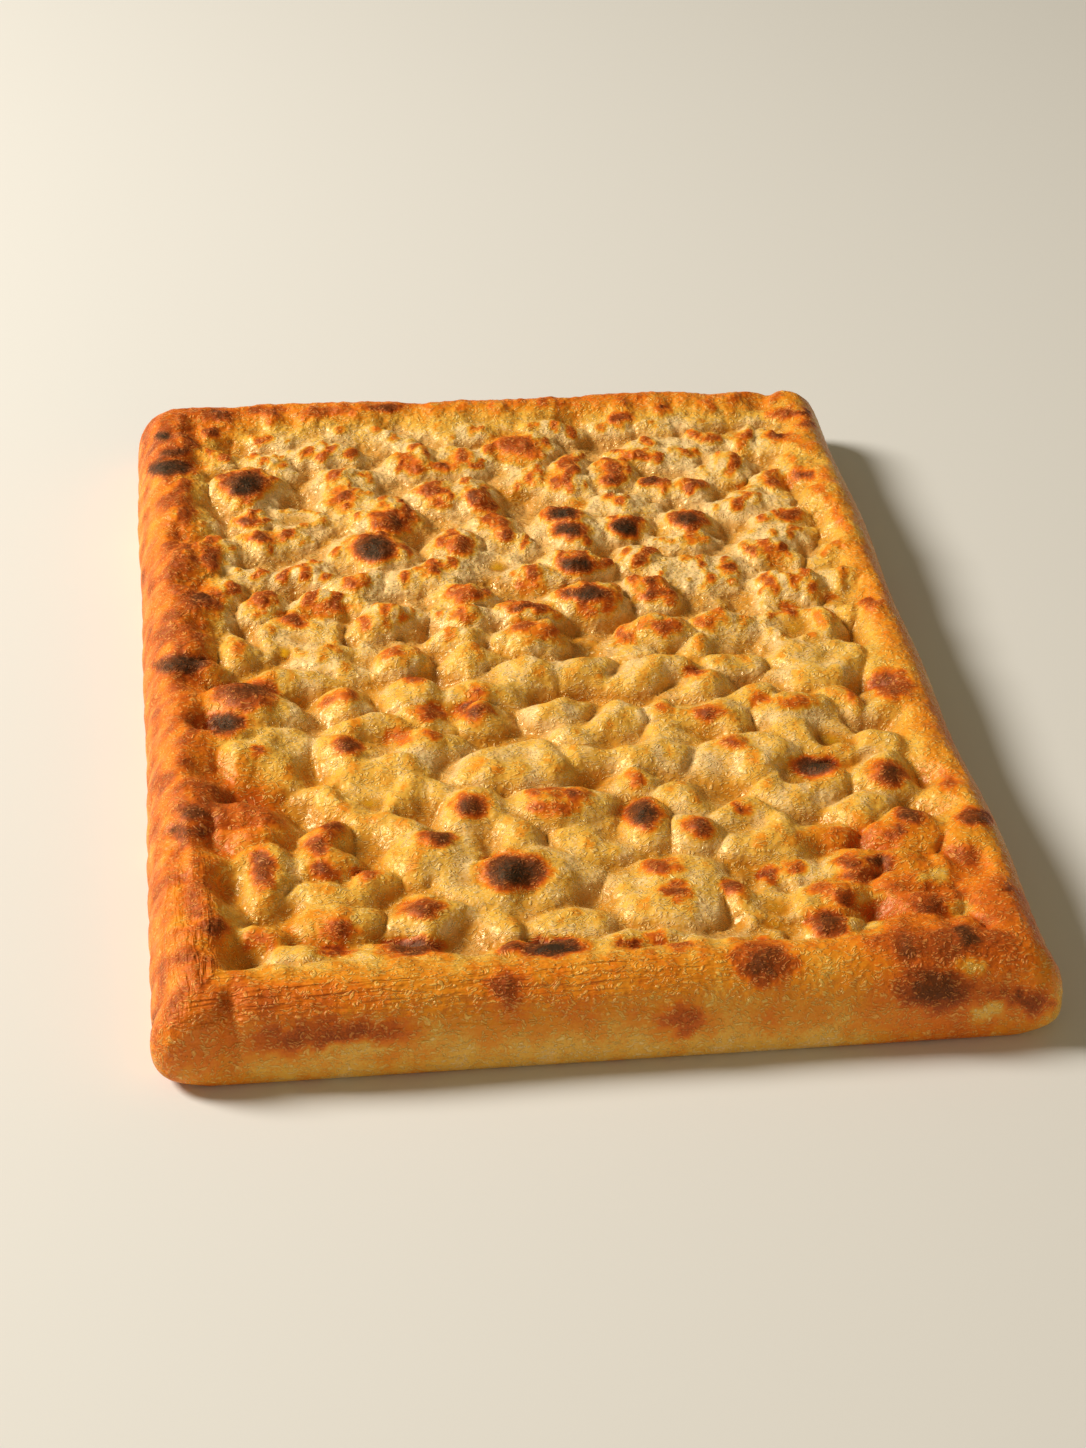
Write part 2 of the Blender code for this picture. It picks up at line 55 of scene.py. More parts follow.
# Plain form of the loaf, in millimetres
form = {
    "cornerRadius": 19.0,
    "cornerPush": (5.0, 4.0, 2.0, 2.6),  # bulges low in the corners: front left and right, back ones
    "footInset": 3.0,
    "footHeight": 8.0,
    "shoulderInset": 15.0,
    "crestHeight": 28.5,
    "floorDrop": 9.0,  # from the crest of the rim down to the floor between the pillows
    "pillowWidth": 1.16,
    "pillowPower": 2.2,  # 2 is a plain dome, more is flatter on top
    "pillowScales": ((-125, -95, 20, 70), (0.85, 1.15, 1.15, 0.88)),  # by y, of their noted heights
    "pokeWidth": 1.05,
    "pokeScale": 1.2,  # of their noted depths
    "rimBand": 17.0,  # width of the rim's inner slope, and how far it waves
    "rimWave": 4.0,
    "rimWaveLength": 55.0,
    "blend": 0.6,  # softness of the crease where two pillows meet
    "spread": 1.45,  # reach of a pillow, in its noted half sizes
    "creaseDepth": 1.5,  # a narrow groove along that crease, which comes and goes
    "creaseWidth": 1.4,
    "creaseLength": 24.0,
    "pokePower": 1.9,
    "warp": 1.7,  # sideways shift, so that no pillow is a plain round
    "warpLength": 36.0,
    "lumpStep": 13.0,  # low lumps over the far half, one to a step
    "lumpSize": 6.0,
    "lumpHeight": 1.05,
    "ribSpacing": 18.0,  # ribs down the left wall
    "ribHeight": 0.8,
    "wobble": 0.5,  # of all four walls
    "wobbleLength": 90.0,
    "swells": ((-1, -130, 50, 1.3), (1, -45, 60, -1.6)),  # side, middle, half length, how far it swells
    "basinLift": 1.6,  # bottom of a pool's basin over that floor
    "basinBowl": 1.3,
    "seed": 11,
}

# Pillows by rows from front to back: y, then (x, half width, half length, height over the floor) for each
pillowRows = (
    (-175, ((48, 11, 8, 7),)),
    (-168, ((-70, 12, 7, 6), (95, 17, 12, 9), (116, 8, 9, 9), (55, 9, 6, 5))),
    (-162, ((-100, 11, 8, 7), (-66, 13, 6, 7), (-18, 16, 6, 9), (10, 17, 6, 8.5), (36, 9, 7, 5),
        (73, 11, 9, 9))),
    (-151, ((-113, 10, 7, 7), (-36, 9, 7, 5), (-12, 12, 8, 5), (72, 11, 10, 7.5), (107, 13, 8, 8.5),
        (133, 9, 10, 8))),
    (-143, ((-84, 11, 8, 7), (-57, 12, 9, 7.5), (24, 13, 10, 7), (44, 6, 8, 6), (78, 10, 8, 8.5),
        (105, 14, 8, 8.5))),
    (-131, ((-92, 13, 9, 6), (25, 17, 11, 7), (62, 12, 7, 7), (88, 11, 8, 8.5), (107, 13, 8, 8.5),
        (125, 12, 10, 9))),
    (-124, ((-25, 19, 14, 9.5), (-107, 9, 10, 8), (-74, 9, 6, 6))),
    (-110, ((-50, 14, 13, 8), (-88, 9, 8, 7), (-108, 9, 8, 8), (62, 15, 12, 8), (80, 11, 8, 7),
        (114, 13, 10, 8.5))),
    (-105, ((40, 8, 10, 8), (-25, 11, 10, 6.5), (134, 8, 10, 9), (8, 14, 12, 6.5))),
    (-98, ((22, 9, 11, 9), (56, 10, 9, 7), (-62, 13, 10, 6.5), (-84, 8, 7, 7), (-116, 12, 9, 8.5),
        (98, 10, 9, 6.5))),
    (-87, ((-8, 15, 11, 8.5), (-34, 12, 11, 7.5), (38, 12, 10, 6.5), (-112, 12, 11, 8.5), (74, 11, 9, 6.5))),
    (-77, ((86, 12, 10, 9), (112, 12, 11, 9), (24, 12, 9, 6.5), (-60, 19, 10, 6), (-82, 11, 9, 5),
        (132, 8, 14, 8.5))),
    (-62, ((-18, 20, 12, 8.5), (68, 19, 14, 8.5), (30, 17, 11, 7), (8, 13, 9, 7), (-62, 19, 12, 6.5),
        (110, 14, 11, 7.5))),
    (-50, ((-104, 17, 14, 8), (-75, 13, 11, 7.5), (-50, 14, 9, 7.5), (90, 13, 14, 7), (12, 12, 8, 6),
        (42, 12, 9, 6.5))),
    (-38, ((-118, 14, 8, 8.5), (-66, 13, 8, 7), (22, 13, 10, 7.5), (39, 9, 10, 7.5), (55, 14, 11, 8.5),
        (88, 14, 10, 8))),
    (-32, ((-43, 12, 8, 7.5), (-26, 10, 8, 7.5), (3, 13, 8, 7), (75, 9, 9, 7), (108, 9, 9, 7.5),
        (126, 13, 10, 9))),
    (-18, ((-74, 12, 8, 7.5), (-110, 17, 12, 9.5), (-50, 11, 9, 7), (-27, 14, 9, 6.5), (55, 10, 9, 7),
        (92, 9, 9, 6))),
    (-8, ((-92, 13, 8, 6), (-8, 11, 9, 7), (16, 14, 8, 6), (41, 14, 9, 7.5), (72, 10, 8, 6),
        (106, 15, 15, 7.5))),
    (5, ((-131, 11, 8, 8.5), (-72, 12, 10, 5), (-53, 9, 8, 6.5), (-22, 12, 8, 7), (34, 7, 9, 6),
        (60, 10, 8, 5.5))),
    (16, ((-28, 9, 8, 7), (-4, 11, 9, 8.5), (48, 12, 9, 7.5), (70, 11, 8, 5.5), (104, 13, 14, 7.5),
        (-112, 8, 9, 5.5))),
    (31, ((-124, 9, 8, 7), (-88, 10, 8, 7), (-55, 13, 8, 6), (-25, 9, 7, 7), (0, 12, 7, 7),
        (128, 9, 12, 8))),
    (42, ((24, 11, 9, 9), (-74, 12, 7, 7), (-100, 7, 9, 7), (-23, 9, 9, 7.5), (48, 9, 9, 7),
        (104, 13, 13, 7))),
    (55, ((-119, 9, 10, 8), (-62, 10, 7, 6.5), (4, 9, 7, 6.5), (64, 12, 9, 6), (-40, 11, 8, 6),
        (82, 9, 9, 6))),
    (64, ((23, 10, 9, 8.5), (-30, 9, 7, 7), (47, 8, 8, 6.5), (-84, 12, 8, 6), (100, 12, 10, 6.5),
        (-102, 9, 7, 6))),
    (79, ((-54, 12, 12, 9.5), (-21, 10, 10, 8), (-118, 10, 14, 9), (-3, 8, 12, 7), (110, 12, 9, 7),
        (66, 12, 8, 6))),
    (90, ((23, 11, 13, 9.5), (46, 9, 9, 8.5), (71, 9, 9, 8), (-94, 12, 8, 7), (-7, 8, 11, 7),
        (112, 10, 9, 7.5))),
    (104, ((-48, 11, 12, 7.5), (-101, 7, 7, 7), (97, 12, 10, 7), (-131, 10, 12, 8.5), (-78, 9, 8, 5),
        (48, 12, 9, 6))),
    (117, ((-64, 10, 12, 7), (-27, 9, 11, 7.5), (-11, 8, 12, 7.5), (80, 8, 8, 7.5), (62, 8, 8, 7.5),
        (115, 8, 13, 7.5))),
    (130, ((-101, 12, 13, 10), (47, 8, 11, 8.5), (30, 9, 13, 7.5), (-60, 13, 9, 6), (12, 10, 8, 6),
        (96, 11, 9, 6))),
    (146, ((-133, 13, 12, 9.5), (-90, 12, 9, 7), (-32, 11, 10, 7), (-15, 10, 10, 8), (62, 12, 9, 6),
        (82, 10, 9, 6.5))),
    (153, ((-71, 14, 9, 8), (10, 13, 12, 8.5), (92, 9, 8, 7), (122, 11, 10, 8), (-116, 10, 10, 8),
        (105, 8, 9, 7))),
    (168, ((-133, 11, 12, 9), (-112, 10, 9, 8), (-92, 13, 8, 7), (-50, 20, 11, 7), (-12, 13, 9, 7),
        (24, 14, 9, 7))),
    (175, ((58, 10, 9, 8), (84, 15, 9, 7), (-72, 18, 7, 7.5), (130, 13, 9, 9), (108, 12, 9, 7),
        (2, 14, 9, 7))),
)

# Finger pokes by rows in the same way: (x, half size, depth below the floor) for each
pokeRows = (
    (-172, ((-119, 8, 4), (-24, 7, 3), (10, 7, 2.5), (57, 7, 4))),
    (-165, ((-66, 7, 3), (-45, 8, 3.5), (35, 7, 2.5), (85, 6, 3))),
    (-148, ((-97, 7, 3), (-70, 8, 2), (-24, 9, 3.5), (-4, 9, 3), (54, 9, 4), (122, 8, 3.5))),
    (-139, ((-121, 8, 4.5), (-40, 8, 3), (10, 9, 2), (54, 7, 3))),
    (-119, ((-71, 9, 4.5), (-38, 7, 3), (10, 10, 4), (52, 8, 4), (75, 8, 3.5), (118, 7, 3.5), (-122, 8, 4))),
    (-100, ((-95, 9, 5), (-55, 9, 4), (-22, 7, 2), (46, 7, 4), (68, 7, 2), (84, 8, 3), (116, 8, 5))),
    (-88, ((7, 8, 4), (32, 8, 2.5), (50, 8, 3.5), (-71, 9, 4.5), (78, 8, 4.5), (98, 9, 3))),
    (-77, ((-90, 10, 5.5), (-42, 9, 3.5), (-20, 8, 3), (65, 8, 2.5), (-124, 7, 4), (-106, 8, 2))),
    (-66, ((-66, 8, 4), (46, 9, 4), (15, 8, 3.5), (95, 9, 4.5), (111, 8, 4.5), (-96, 8, 3))),
    (-50, ((-123, 8, 4.5), (-38, 9, 4.5), (-19, 7, 3.5), (9, 8, 3.5), (28, 8, 3.5), (47, 8, 3),
        (110, 8, 5))),
    (-35, ((-88, 11, 5.5), (-63, 8, 4), (-5, 8, 3), (12, 8, 3.5), (44, 7, 4), (66, 7, 3), (82, 7, 3))),
    (-24, ((-127, 8, 4), (-40, 8, 3), (-18, 7, 3), (26, 8, 2.5), (100, 8, 3), (70, 7, 2.5))),
    (-10, ((-68, 8, 4), (-38, 8, 3.5), (-17, 8, 3.5), (28, 9, 3.5), (48, 7, 2.5), (66, 7, 2.5),
        (115, 8, 4.5))),
    (9, ((-88, 12, 5), (-120, 7, 3.5), (-40, 8, 4), (16, 8, 3), (30, 7, 3.5), (96, 9, 4.5), (117, 8, 6),
        (-106, 8, 2.5))),
    (20, ((-100, 8, 3), (-71, 8, 3.5), (12, 8, 3), (37, 7, 3), (81, 8, 3), (58, 8, 2), (122, 6, 4))),
    (38, ((-125, 7, 3.5), (-87, 7, 3), (-8, 7, 3), (97, 7, 3.5), (82, 8, 3.5), (116, 8, 4), (60, 7, 2.5))),
    (54, ((-105, 7, 3.5), (-9, 9, 4.5), (-66, 7, 2.5), (34, 7, 2.5), (115, 8, 4.5), (-92, 7, 3))),
    (70, ((-126, 7, 3.5), (-92, 8, 3.5), (-38, 7, 3), (10, 8, 2.5), (84, 8, 2), (116, 8, 3.5),
        (52, 8, 2.5))),
    (96, ((-84, 11, 4.5), (-68, 8, 3), (-36, 7, 2.5), (4, 9, 3), (85, 8, 3.5), (116, 8, 4), (56, 8, 2.5),
        (-116, 7, 3))),
    (112, ((-45, 7, 2), (0, 8, 3), (104, 7, 3), (-85, 8, 2.5), (40, 7, 2.5), (124, 7, 2.5))),
    (128, ((-80, 8, 2.5), (-20, 8, 3), (5, 9, 3), (80, 7, 2), (-122, 7, 3.5), (108, 7, 2))),
    (142, ((-108, 8, 4), (-52, 8, 3), (120, 8, 3.5), (45, 7, 2.5), (95, 7, 2), (-5, 7, 2.5))),
    (160, ((-100, 8, 3), (-84, 8, 2), (38, 8, 2.5), (76, 8, 2), (-35, 8, 2.5), (60, 7, 2), (112, 7, 2.5))),
    (175, ((32, 6, 4.5), (-104, 7, 2.5), (96, 8, 2), (-28, 8, 2))),
)

# Oil lying in pokes: (x, y, half width, half length)
poolPlaces = (
    (-88, 12, 8.5, 6.5),
    (-84, 95, 8, 6),
    (-9, 55, 7, 5.5),
    (96, 5, 6.5, 7),
    (-71, -89, 6, 5.5),
    (95, -66, 6.5, 6),
    (78, -88, 6, 5.5),
    (55, -155, 6.5, 6.5),
)

# Folds in the rim where the dough was tucked into the tin's corners: start, end, half width, depth
folds = (
    ((-121, -184), (-126, -216), 2.8, 2.3),
    ((-136, -100), (-133, -150), 3.5, 2.0),
    ((126, 196), (120, 176), 3.5, 2.0),
)

# Browning, by how dark it is: (x, y, half width, half length) noted the same way as the pillows
burns = {
    "char": (
        (-25, -124, 10.5, 9), (-18, -163, 9.5, 4), (-101, 131, 8.5, 10), (-54, 79, 8, 9.5),
        (22, 100, 6, 5), (23, 87, 6, 5), (23, 62, 7, 6), (24, 41, 9, 5), (22, -96, 6, 7.5),
        (-115.5, -33, 6, 6.5), (-130, 5, 10, 6), (-131, 146, 10, 7), (46, 87, 5, 6.5),
        (86, -75, 7, 5.5), (-133, 172, 4, 4), (115, -169, 4.5, 6), (71, 92, 5, 6),
    ),
    "dark": (
        (111, -81, 5.5, 7), (113, -104, 5, 5), (40, -105, 4, 5), (-48, -103, 5.5, 4.5),
        (-35, -87, 5.5, 6), (-74, -49, 5, 4.5), (55, -40, 5, 4), (-124, -144, 4.5, 5.5),
        (-87, -118, 4.5, 4), (-107, -115, 4, 9), (-57, -140, 7, 4), (-62, -159, 9, 4),
        (72, -159, 6, 7), (135, -108, 6, 5), (62, 123, 4.5, 4), (80, 120, 4.5, 4), (47, 133, 5, 5),
        (46, 124, 5, 5), (58, 175, 5, 4), (122, 156, 5, 4), (-101.5, 102, 3.5, 3.5),
        (49, 48, 2.5, 3), (-110, 188, 8, 5), (-112, 174, 5, 4), (-120, 167, 3, 4),
        (-129, 158, 6, 4), (-132, -94, 4, 5), (-126, -94, 4, 5), (-128, -83, 6, 5),
        (-31, -161, 4, 3), (98, -193, 13, 11), (46, -177, 4.5, 5), (107, -153, 8, 5),
        (-117, 75, 5, 10), (-94, 90, 8, 3), (-106, -12, 6, 4), (127, -202, 6, 6),
        (137, 174, 4, 3),
    ),
    "brown": (
        (-21, 78, 5, 6), (-31, 64, 4, 3), (-24, 44, 6, 6), (-25, 29, 4, 3), (-4, 22, 5, 5),
        (5, 16, 4, 4), (0, 34, 8, 3), (2, 46, 5, 4), (5, 57, 3, 4), (22, 28, 2.5, 4),
        (47, 61, 2.5, 3), (47, 38, 4, 3), (49, 16, 5, 4), (33, 10, 3, 4), (-132, 85, 4, 3),
        (-100, 47, 4, 6), (-120, 48, 7, 6), (-88, 32, 6, 5), (-75, 37, 9, 5), (-125, 30, 5, 4),
        (-54, 8, 4, 5), (-60, 55, 2.5, 2.5), (-66, 53, 2.5, 2.5), (-45, 97, 8, 10), (-63, 116, 5, 8),
        (-10, 115, 4, 5), (-7, 105, 4, 6), (-5, 96, 4, 5), (-3, 86, 3.5, 5), (-27, 121, 5, 5),
        (-25, 110, 3, 3), (-13, 147, 4, 5), (-20, 140, 4, 4), (-32, 139, 5, 5), (10, 152, 11, 12),
        (30, 141, 3, 7), (23, 126, 4, 5), (28, 106, 3, 3), (92, 155, 3.5, 3.5), (104, 158, 3, 3),
        (104, 143, 2.5, 2.5), (84, 143, 2, 2), (63, 142, 3, 3), (55, 142, 3, 3), (77, 182, 3, 3),
        (97, 114, 3, 3), (113, 92, 4.5, 4), (115, 118, 4, 5), (124, 122, 5, 4), (128, 174, 8, 4),
        (136, 165, 4, 4), (82, 55, 3, 3), (99, 67, 3, 3), (101, 58, 3, 4), (57, 40, 4, 2),
        (114, 32, 3, 3), (129, 28, 3, 4), (98, 25, 3, 4), (65, 18, 4, 4), (-108, -14, 11, 10),
        (-72, -18, 4, 3), (-79, -22, 3, 3), (-48, -9, 4, 3), (-56, -45, 4, 4), (-43, -45, 2, 2),
        (-43, -31, 6, 4), (-29, -32, 6, 5), (-26, -20, 2.5, 2.5), (-105, -50, 2.5, 2.5),
        (39, -35, 3, 3), (55, -14, 3, 3), (76, -33, 3, 3), (88, -36, 5, 4), (109, -33, 3, 4),
        (125, -27, 8, 9), (60, -58, 4, 3), (-12, -90, 3.5, 3.5), (-7, -80, 4, 3.5), (1, -84, 4, 4),
        (-4, -92, 4, 3.5), (-13, -80, 3, 3), (23, -77, 3, 4), (56, -96, 2.5, 2.5), (131, -87, 3, 5),
        (-83, -95, 4, 4), (-88, -104, 4, 5), (-73, -120, 4, 3), (-129, -122, 5, 5),
        (-129, -136, 2.5, 2.5), (-110, -151, 4, 3), (-84, -148, 5, 4), (-86, -158, 4, 2.5),
        (23, -125, 5, 4), (27, -138, 4, 4), (45, -137, 2.5, 3.5), (58, -132, 3, 3), (67, -129, 3, 3),
        (95, -116, 4, 3), (107, -114, 4, 2.5), (7, -163, 3, 3), (15, -161, 3, 3), (23, -164, 3, 3),
        (-35, -180, 5.5, 8), (48, -176, 10, 11), (89, -136, 6, 4), (75, -141, 5, 3), (80, -147, 4, 4),
        (86, -128, 4, 4), (97, -129, 4, 4), (125, -128, 6, 6), (95, -172, 6, 6), (105, -173, 5, 5),
        (118, -198, 4, 4), (136, -146, 2, 2), (-91, -198, 26, 8), (17, -200, 7, 7),
        (-90, 190, 8, 4), (-65, 188, 10, 4), (-40, 190, 8, 3),
    ),
    "pale": (
        (113, -138, 5, 3), (84, -160, 5, 4), (88, -147, 4, 2.5), (117, -156, 4, 3), (111, -183, 5, 3),
        (113, -205, 5, 3), (-85, -204, 12, 2.5),
    ),
}

# Wide, soft browning: (x, y, half width, half length, how much), over the places themselves
toasting = (
    (-112, -88, 17, 24, 0.36), (108, -165, 36, 40, 0.40), (-125, 168, 26, 36, 0.22),
    (-130, 30, 18, 95, 0.16), (-20, -185, 75, 7, 0.08), (-10, 190, 110, 9, 0.16),
    (-122, -70, 12, 60, 0.10), (135, -60, 10, 40, 0.12), (95, -118, 30, 10, 0.26),
    (-95, -150, 22, 8, 0.14), (-100, -186, 26, 7, 0.16), (133, 20, 8, 40, 0.08),
    (-130, -186, 20, 24, 0.18), (-137, -110, 12, 70, 0.10), (-85, -100, 32, 60, 0.06),
    (-75, 197, 24, 8, 0.18), (-8, 196, 16, 6, 0.12), (58, 197, 34, 8, 0.16), (118, 196, 10, 6, 0.10),
    (147, -98, 6, 28, 0.18), (147, -30, 5, 14, 0.10), (147, 62, 6, 32, 0.16), (147, 140, 5, 16, 0.12),
)

# Films of oil in the folds: (x, y, half width, half length), noted as the pillows are
films = (
    (-88, 12, 15, 10), (-84, 95, 16, 10), (-9, 55, 14, 9), (96, 5, 15, 12), (-71, -89, 13, 9),
    (95, -66, 14, 10), (78, -88, 12, 9), (55, -155, 13, 12), (-100, 25, 7, 6), (-64, -35, 7, 6),
    (-23, -97, 6, 5), (52, -133, 8, 7), (-20, 122, 8, 5), (3, 115, 7, 5), (-75, 85, 9, 6),
    (50, -125, 6, 5), (95, 15, 8, 6),
)


def ease(low, high, value):
    t = np.clip((value - low) / (high - low), 0, 1)
    return t * t * (3 - 2 * t)


def placeAt(x, y, z):  # where a place noted at x, y really is, if it is z high
    reach = (eye["place"][2] - z) / (eye["place"][2] - notedLevel)
    return eye["place"][0] + (x - eye["place"][0]) * reach, eye["place"][1] + (y - eye["place"][1]) * reach


def notedAs(points):  # and the other way round
    reach = (eye["place"][2] - notedLevel) / (eye["place"][2] - points[:, 2])
    return np.array(eye["place"][:2]) + (points[:, :2] - eye["place"][:2]) * reach[:, None]


# The side runs out from the underside to the widest line and back in over the shoulder
def sideProfile():
    quarter = np.linspace(0, math.pi / 2, 60)
    footX = form["footInset"] * (1 - np.sin(quarter))
    footZ = form["footHeight"] * (1 - np.cos(quarter))
    shoulderX = form["shoulderInset"] * (1 - np.cos(quarter))
    shoulderZ = form["footHeight"] + (form["crestHeight"] - form["footHeight"]) * np.sin(quarter)
    inset = np.concatenate([footX, shoulderX[1:]])
    rise = np.concatenate([footZ, shoulderZ[1:]])
    along = np.concatenate([[0], np.cumsum(np.hypot(np.diff(inset), np.diff(rise)))])
    return along, inset, rise


sideAlong, sideInset, sideRise = sideProfile()
sideSheet = sideAlong[-1]  # how much of the sheet hangs down the side
spare = sideSheet - form["shoulderInset"]
floorLevel = form["crestHeight"] - form["floorDrop"]


# The square -1..1 as a flat rounded sheet: place on it, distance in from its edge, and the way out
def flatSheet(u, v):
    half = np.array([breadWidth, breadLength]) / 2 + spare
    radius = form["cornerRadius"] + spare
    straight = half - radius
    square = np.stack([u, v], 1)
    inner = np.abs(square) * half - straight
    part = np.clip(inner / radius, 0, 1)
    roundOff = part * np.sqrt(1 - part[:, ::-1] ** 2 / 2)
    place = np.where(inner > 0, straight + radius * roundOff, np.abs(square) * half)
    beyond = place - straight
    inCorner = (beyond > 0).all(1)
    out = np.where(beyond[:, :1] >= beyond[:, 1:], [[1.0, 0.0]], [[0.0, 1.0]])
    edge = radius - beyond.max(1)
    away = np.hypot(*np.maximum(beyond, 1e-9).T)
    out = np.where(inCorner[:, None], np.maximum(beyond, 0) / away[:, None], out)
    edge = np.where(inCorner, radius - away, edge)
    sign = np.where(square < 0, -1, 1)
    return place * sign, edge, out * sign


def uneven(x, y, waveLength, seed, waves=7):  # random waves, mostly between -1 and 1
    draw = random.Random(seed)
    total = np.zeros_like(x)
    for _ in range(waves):
        turn = draw.uniform(0, 2 * math.pi)
        number = 2 * math.pi / (waveLength * draw.uniform(0.7, 1.4))
        phase = draw.uniform(0, 2 * math.pi)
        total += np.sin((x * math.cos(turn) + y * math.sin(turn)) * number + phase)
    return total / math.sqrt(waves)


def pillowHeights(x, y, edge):
    band = form["rimBand"] + form["rimWave"] * uneven(x, y, form["rimWaveLength"], form["seed"] + 2)
    rim = form["floorDrop"] * (1 - (np.maximum(edge - sideSheet, 0) / band) ** 2)
    total = 1 + np.exp(rim / form["blend"])
    first, second = np.maximum(rim, 0), np.zeros_like(x)
    for rowY, row in pillowRows:
        for rowX, wide, long, notedHigh in row:
            high = notedHigh * np.interp(rowY, *form["pillowScales"])
            cx, cy = placeAt(rowX, rowY, floorLevel + high)
            away = np.hypot((x - cx) / (wide * form["pillowWidth"]), (y - cy) / long) / form["spread"]
            rise = high * (1 - away ** form["pillowPower"])
            total += np.exp(rise / form["blend"])
            second = np.maximum(second, np.minimum(first, rise))
            first = np.maximum(first, rise)
    crease = form["creaseDepth"] * np.exp(-(((first - second) / form["creaseWidth"]) ** 2))
    crease = crease * ease(0.3, 3, second) * ease(-0.8, 1.1, uneven(x, y, form["creaseLength"], 37))
    crease = crease * (1 - 0.5 * ease(10, 60, y))
    return form["blend"] * np.log(total) - crease


def pokeDepths(x, y):
    total = np.zeros_like(x)
    for rowY, row in pokeRows:
        for rowX, size, notedDeep in row:
            deep = notedDeep * form["pokeScale"]
            cx, cy = placeAt(rowX, rowY, floorLevel - deep)
            away = np.hypot((x - cx) / form["pokeWidth"], y - cy) / size
            total += (deep * np.exp(-(away ** form["pokePower"]))) ** 3
    return np.cbrt(total)


def poolReach(x, y):  # distance from the nearest pool's middle, in pool sizes
    nearest = np.full_like(x, 99.0)
    for poolX, poolY, wide, long in poolPlaces:
        cx, cy = placeAt(poolX, poolY, floorLevel)
        nearest = np.minimum(nearest, np.hypot((x - cx) / wide, (y - cy) / long))
    return nearest


def hollowed(x, y, dough):
    away = poolReach(x, y) * (1 + 0.2 * uneven(x, y, 12, 29))
    basin = form["basinBowl"] * away**2 - form["floorDrop"] + form["basinLift"]
    return dough + (basin - dough) * (1 - ease(0.7, 2.3, away))


def lumpHeights(x, y):
    draw = random.Random(form["seed"])
    step = form["lumpStep"]
    total = np.zeros_like(x)
    for row in range(int(breadLength / 2 / step)):
        for column in range(int(breadWidth / step)):
            cx = -breadWidth / 2 + (column + draw.uniform(0.1, 0.9)) * step
            cy = (row + draw.uniform(0.1, 0.9)) * step
            size = form["lumpSize"] * draw.uniform(0.75, 1.25)
            high = form["lumpHeight"] * draw.uniform(0.4, 1.6)
            total = np.maximum(total, high * np.exp(-((x - cx) ** 2 + (y - cy) ** 2) / size**2))
    return total


def foldDepths(x, y):
    total = np.zeros_like(x)
    for start, end, half, deep in folds:
        run = (end[0] - start[0], end[1] - start[1])
        share = ((x - start[0]) * run[0] + (y - start[1]) * run[1]) / (run[0] ** 2 + run[1] ** 2)
        share = np.clip(share, 0, 1)
        away = np.hypot(x - start[0] - share * run[0], y - start[1] - share * run[1])
        total = np.maximum(total, deep * np.exp(-((away / half) ** 2)))
    return total


def rimUnevenness(place, edge):
    x, y = place.T
    onSide = ease(3, 14, edge) * (1 - ease(4, 14, edge - sideSheet))
    ribs = form["ribHeight"] * (np.abs(np.sin(math.pi * y / form["ribSpacing"])) - 0.5) * (x < 0)
    wobble = form["wobble"] * uneven(x, y, form["wobbleLength"], form["seed"] + 3)
    swell = np.zeros_like(x)
    for side, middle, half, out in form["swells"]:
        swell += out * np.exp(-(((y - middle) / half) ** 2)) * ease(100, 130, side * x)
    return onSide * (ribs * ease(60, 110, -x) + wobble + swell)


def cornerBulge(out, edge):
    frontLeft, frontRight, backLeft, backRight = form["cornerPush"]
    push = np.where(
        out[:, 1] < 0,
        np.where(out[:, 0] < 0, frontLeft, frontRight),
        np.where(out[:, 0] < 0, backLeft, backRight),
    )
    diagonal = (2 * out[:, 0] * out[:, 1]) ** 2
    return push * diagonal * (1 - ease(sideSheet - 22, sideSheet - 4, edge)) * ease(0, 8, edge)


# Round cells scattered over the sheet: how far from the nearest one's middle, and that one's own luck
def scattered(place, spacing, seed):
    draw = np.random.default_rng(seed)
    shift = draw.uniform(-0.42, 0.42, (512, 512, 2))
    luck = draw.uniform(0, 1, (512, 512))
    index = np.floor(place / spacing).astype(int)
    nearest = np.full(len(place), 9.0)
    found = np.zeros(len(place))
    for stepX in (-1, 0, 1):
        for stepY in (-1, 0, 1):
            cell = index + [stepX, stepY]
            column, row = cell.T % 512
            middle = (cell + 0.5 + shift[column, row]) * spacing
            away = np.hypot(*(place - middle).T) / spacing
            closer = away < nearest
            found = np.where(closer, luck[column, row], found)
            nearest = np.minimum(nearest, away)
    return nearest, found


# The loaf: a grid wrapped down over the sides, sculpted, then closed underneath
loaf = {
    "name": "bakedBread",
    "columns": 268,
    "rows": 354,
    "coarseBand": 30.0,  # width of the outer sheet with wider cells, and how much wider they are
    "coarser": 1.7,
    "curdSpacing": 6.2,
    "curdHeight": 0.95,
    "crumbSpacing": 3.3,
    "crumbHeight": 0.6,
    "knobLength": 13.0,
    "knobHeight": 0.35,
    "bubbleRise": 0.20,  # of a char bubble, in its own half sizes
    "bubbleMost": 8,  # largest half size that counts
    "bubbleShares": {"char": 1.0, "dark": 0.75, "brown": 0.4},  # of that rise
    "highFrom": 32.2,  # tops above this are pressed into the spare height
    "highSpare": 1.4,
    "tipBlur": 4.5,  # in cells: tips stand proud of the skin blurred so far, hollows lie under it
    # hollows found under the skin blurred so far get painted shade
    "hollowBlur": 12,
    "soleInsets": (1.5, 3.0, 6.0),
    # share of the oil and painted-shade tint given to the whole sole
    "soleBake": 0.42,
    "soleOilAndShade": 0.4,
    "sameSpot": 0.01,  # how near a vertex lies to its own point of the sheet
}


# Cells of the sheet are finer over the top than down the sides
def spreadOut(value, half):
    fine = half - loaf["coarseBand"]
    share = fine / (fine + loaf["coarseBand"] / loaf["coarser"])
    return np.sign(value) * np.interp(np.abs(value), [0, share, 1], [0, fine / half, 1])


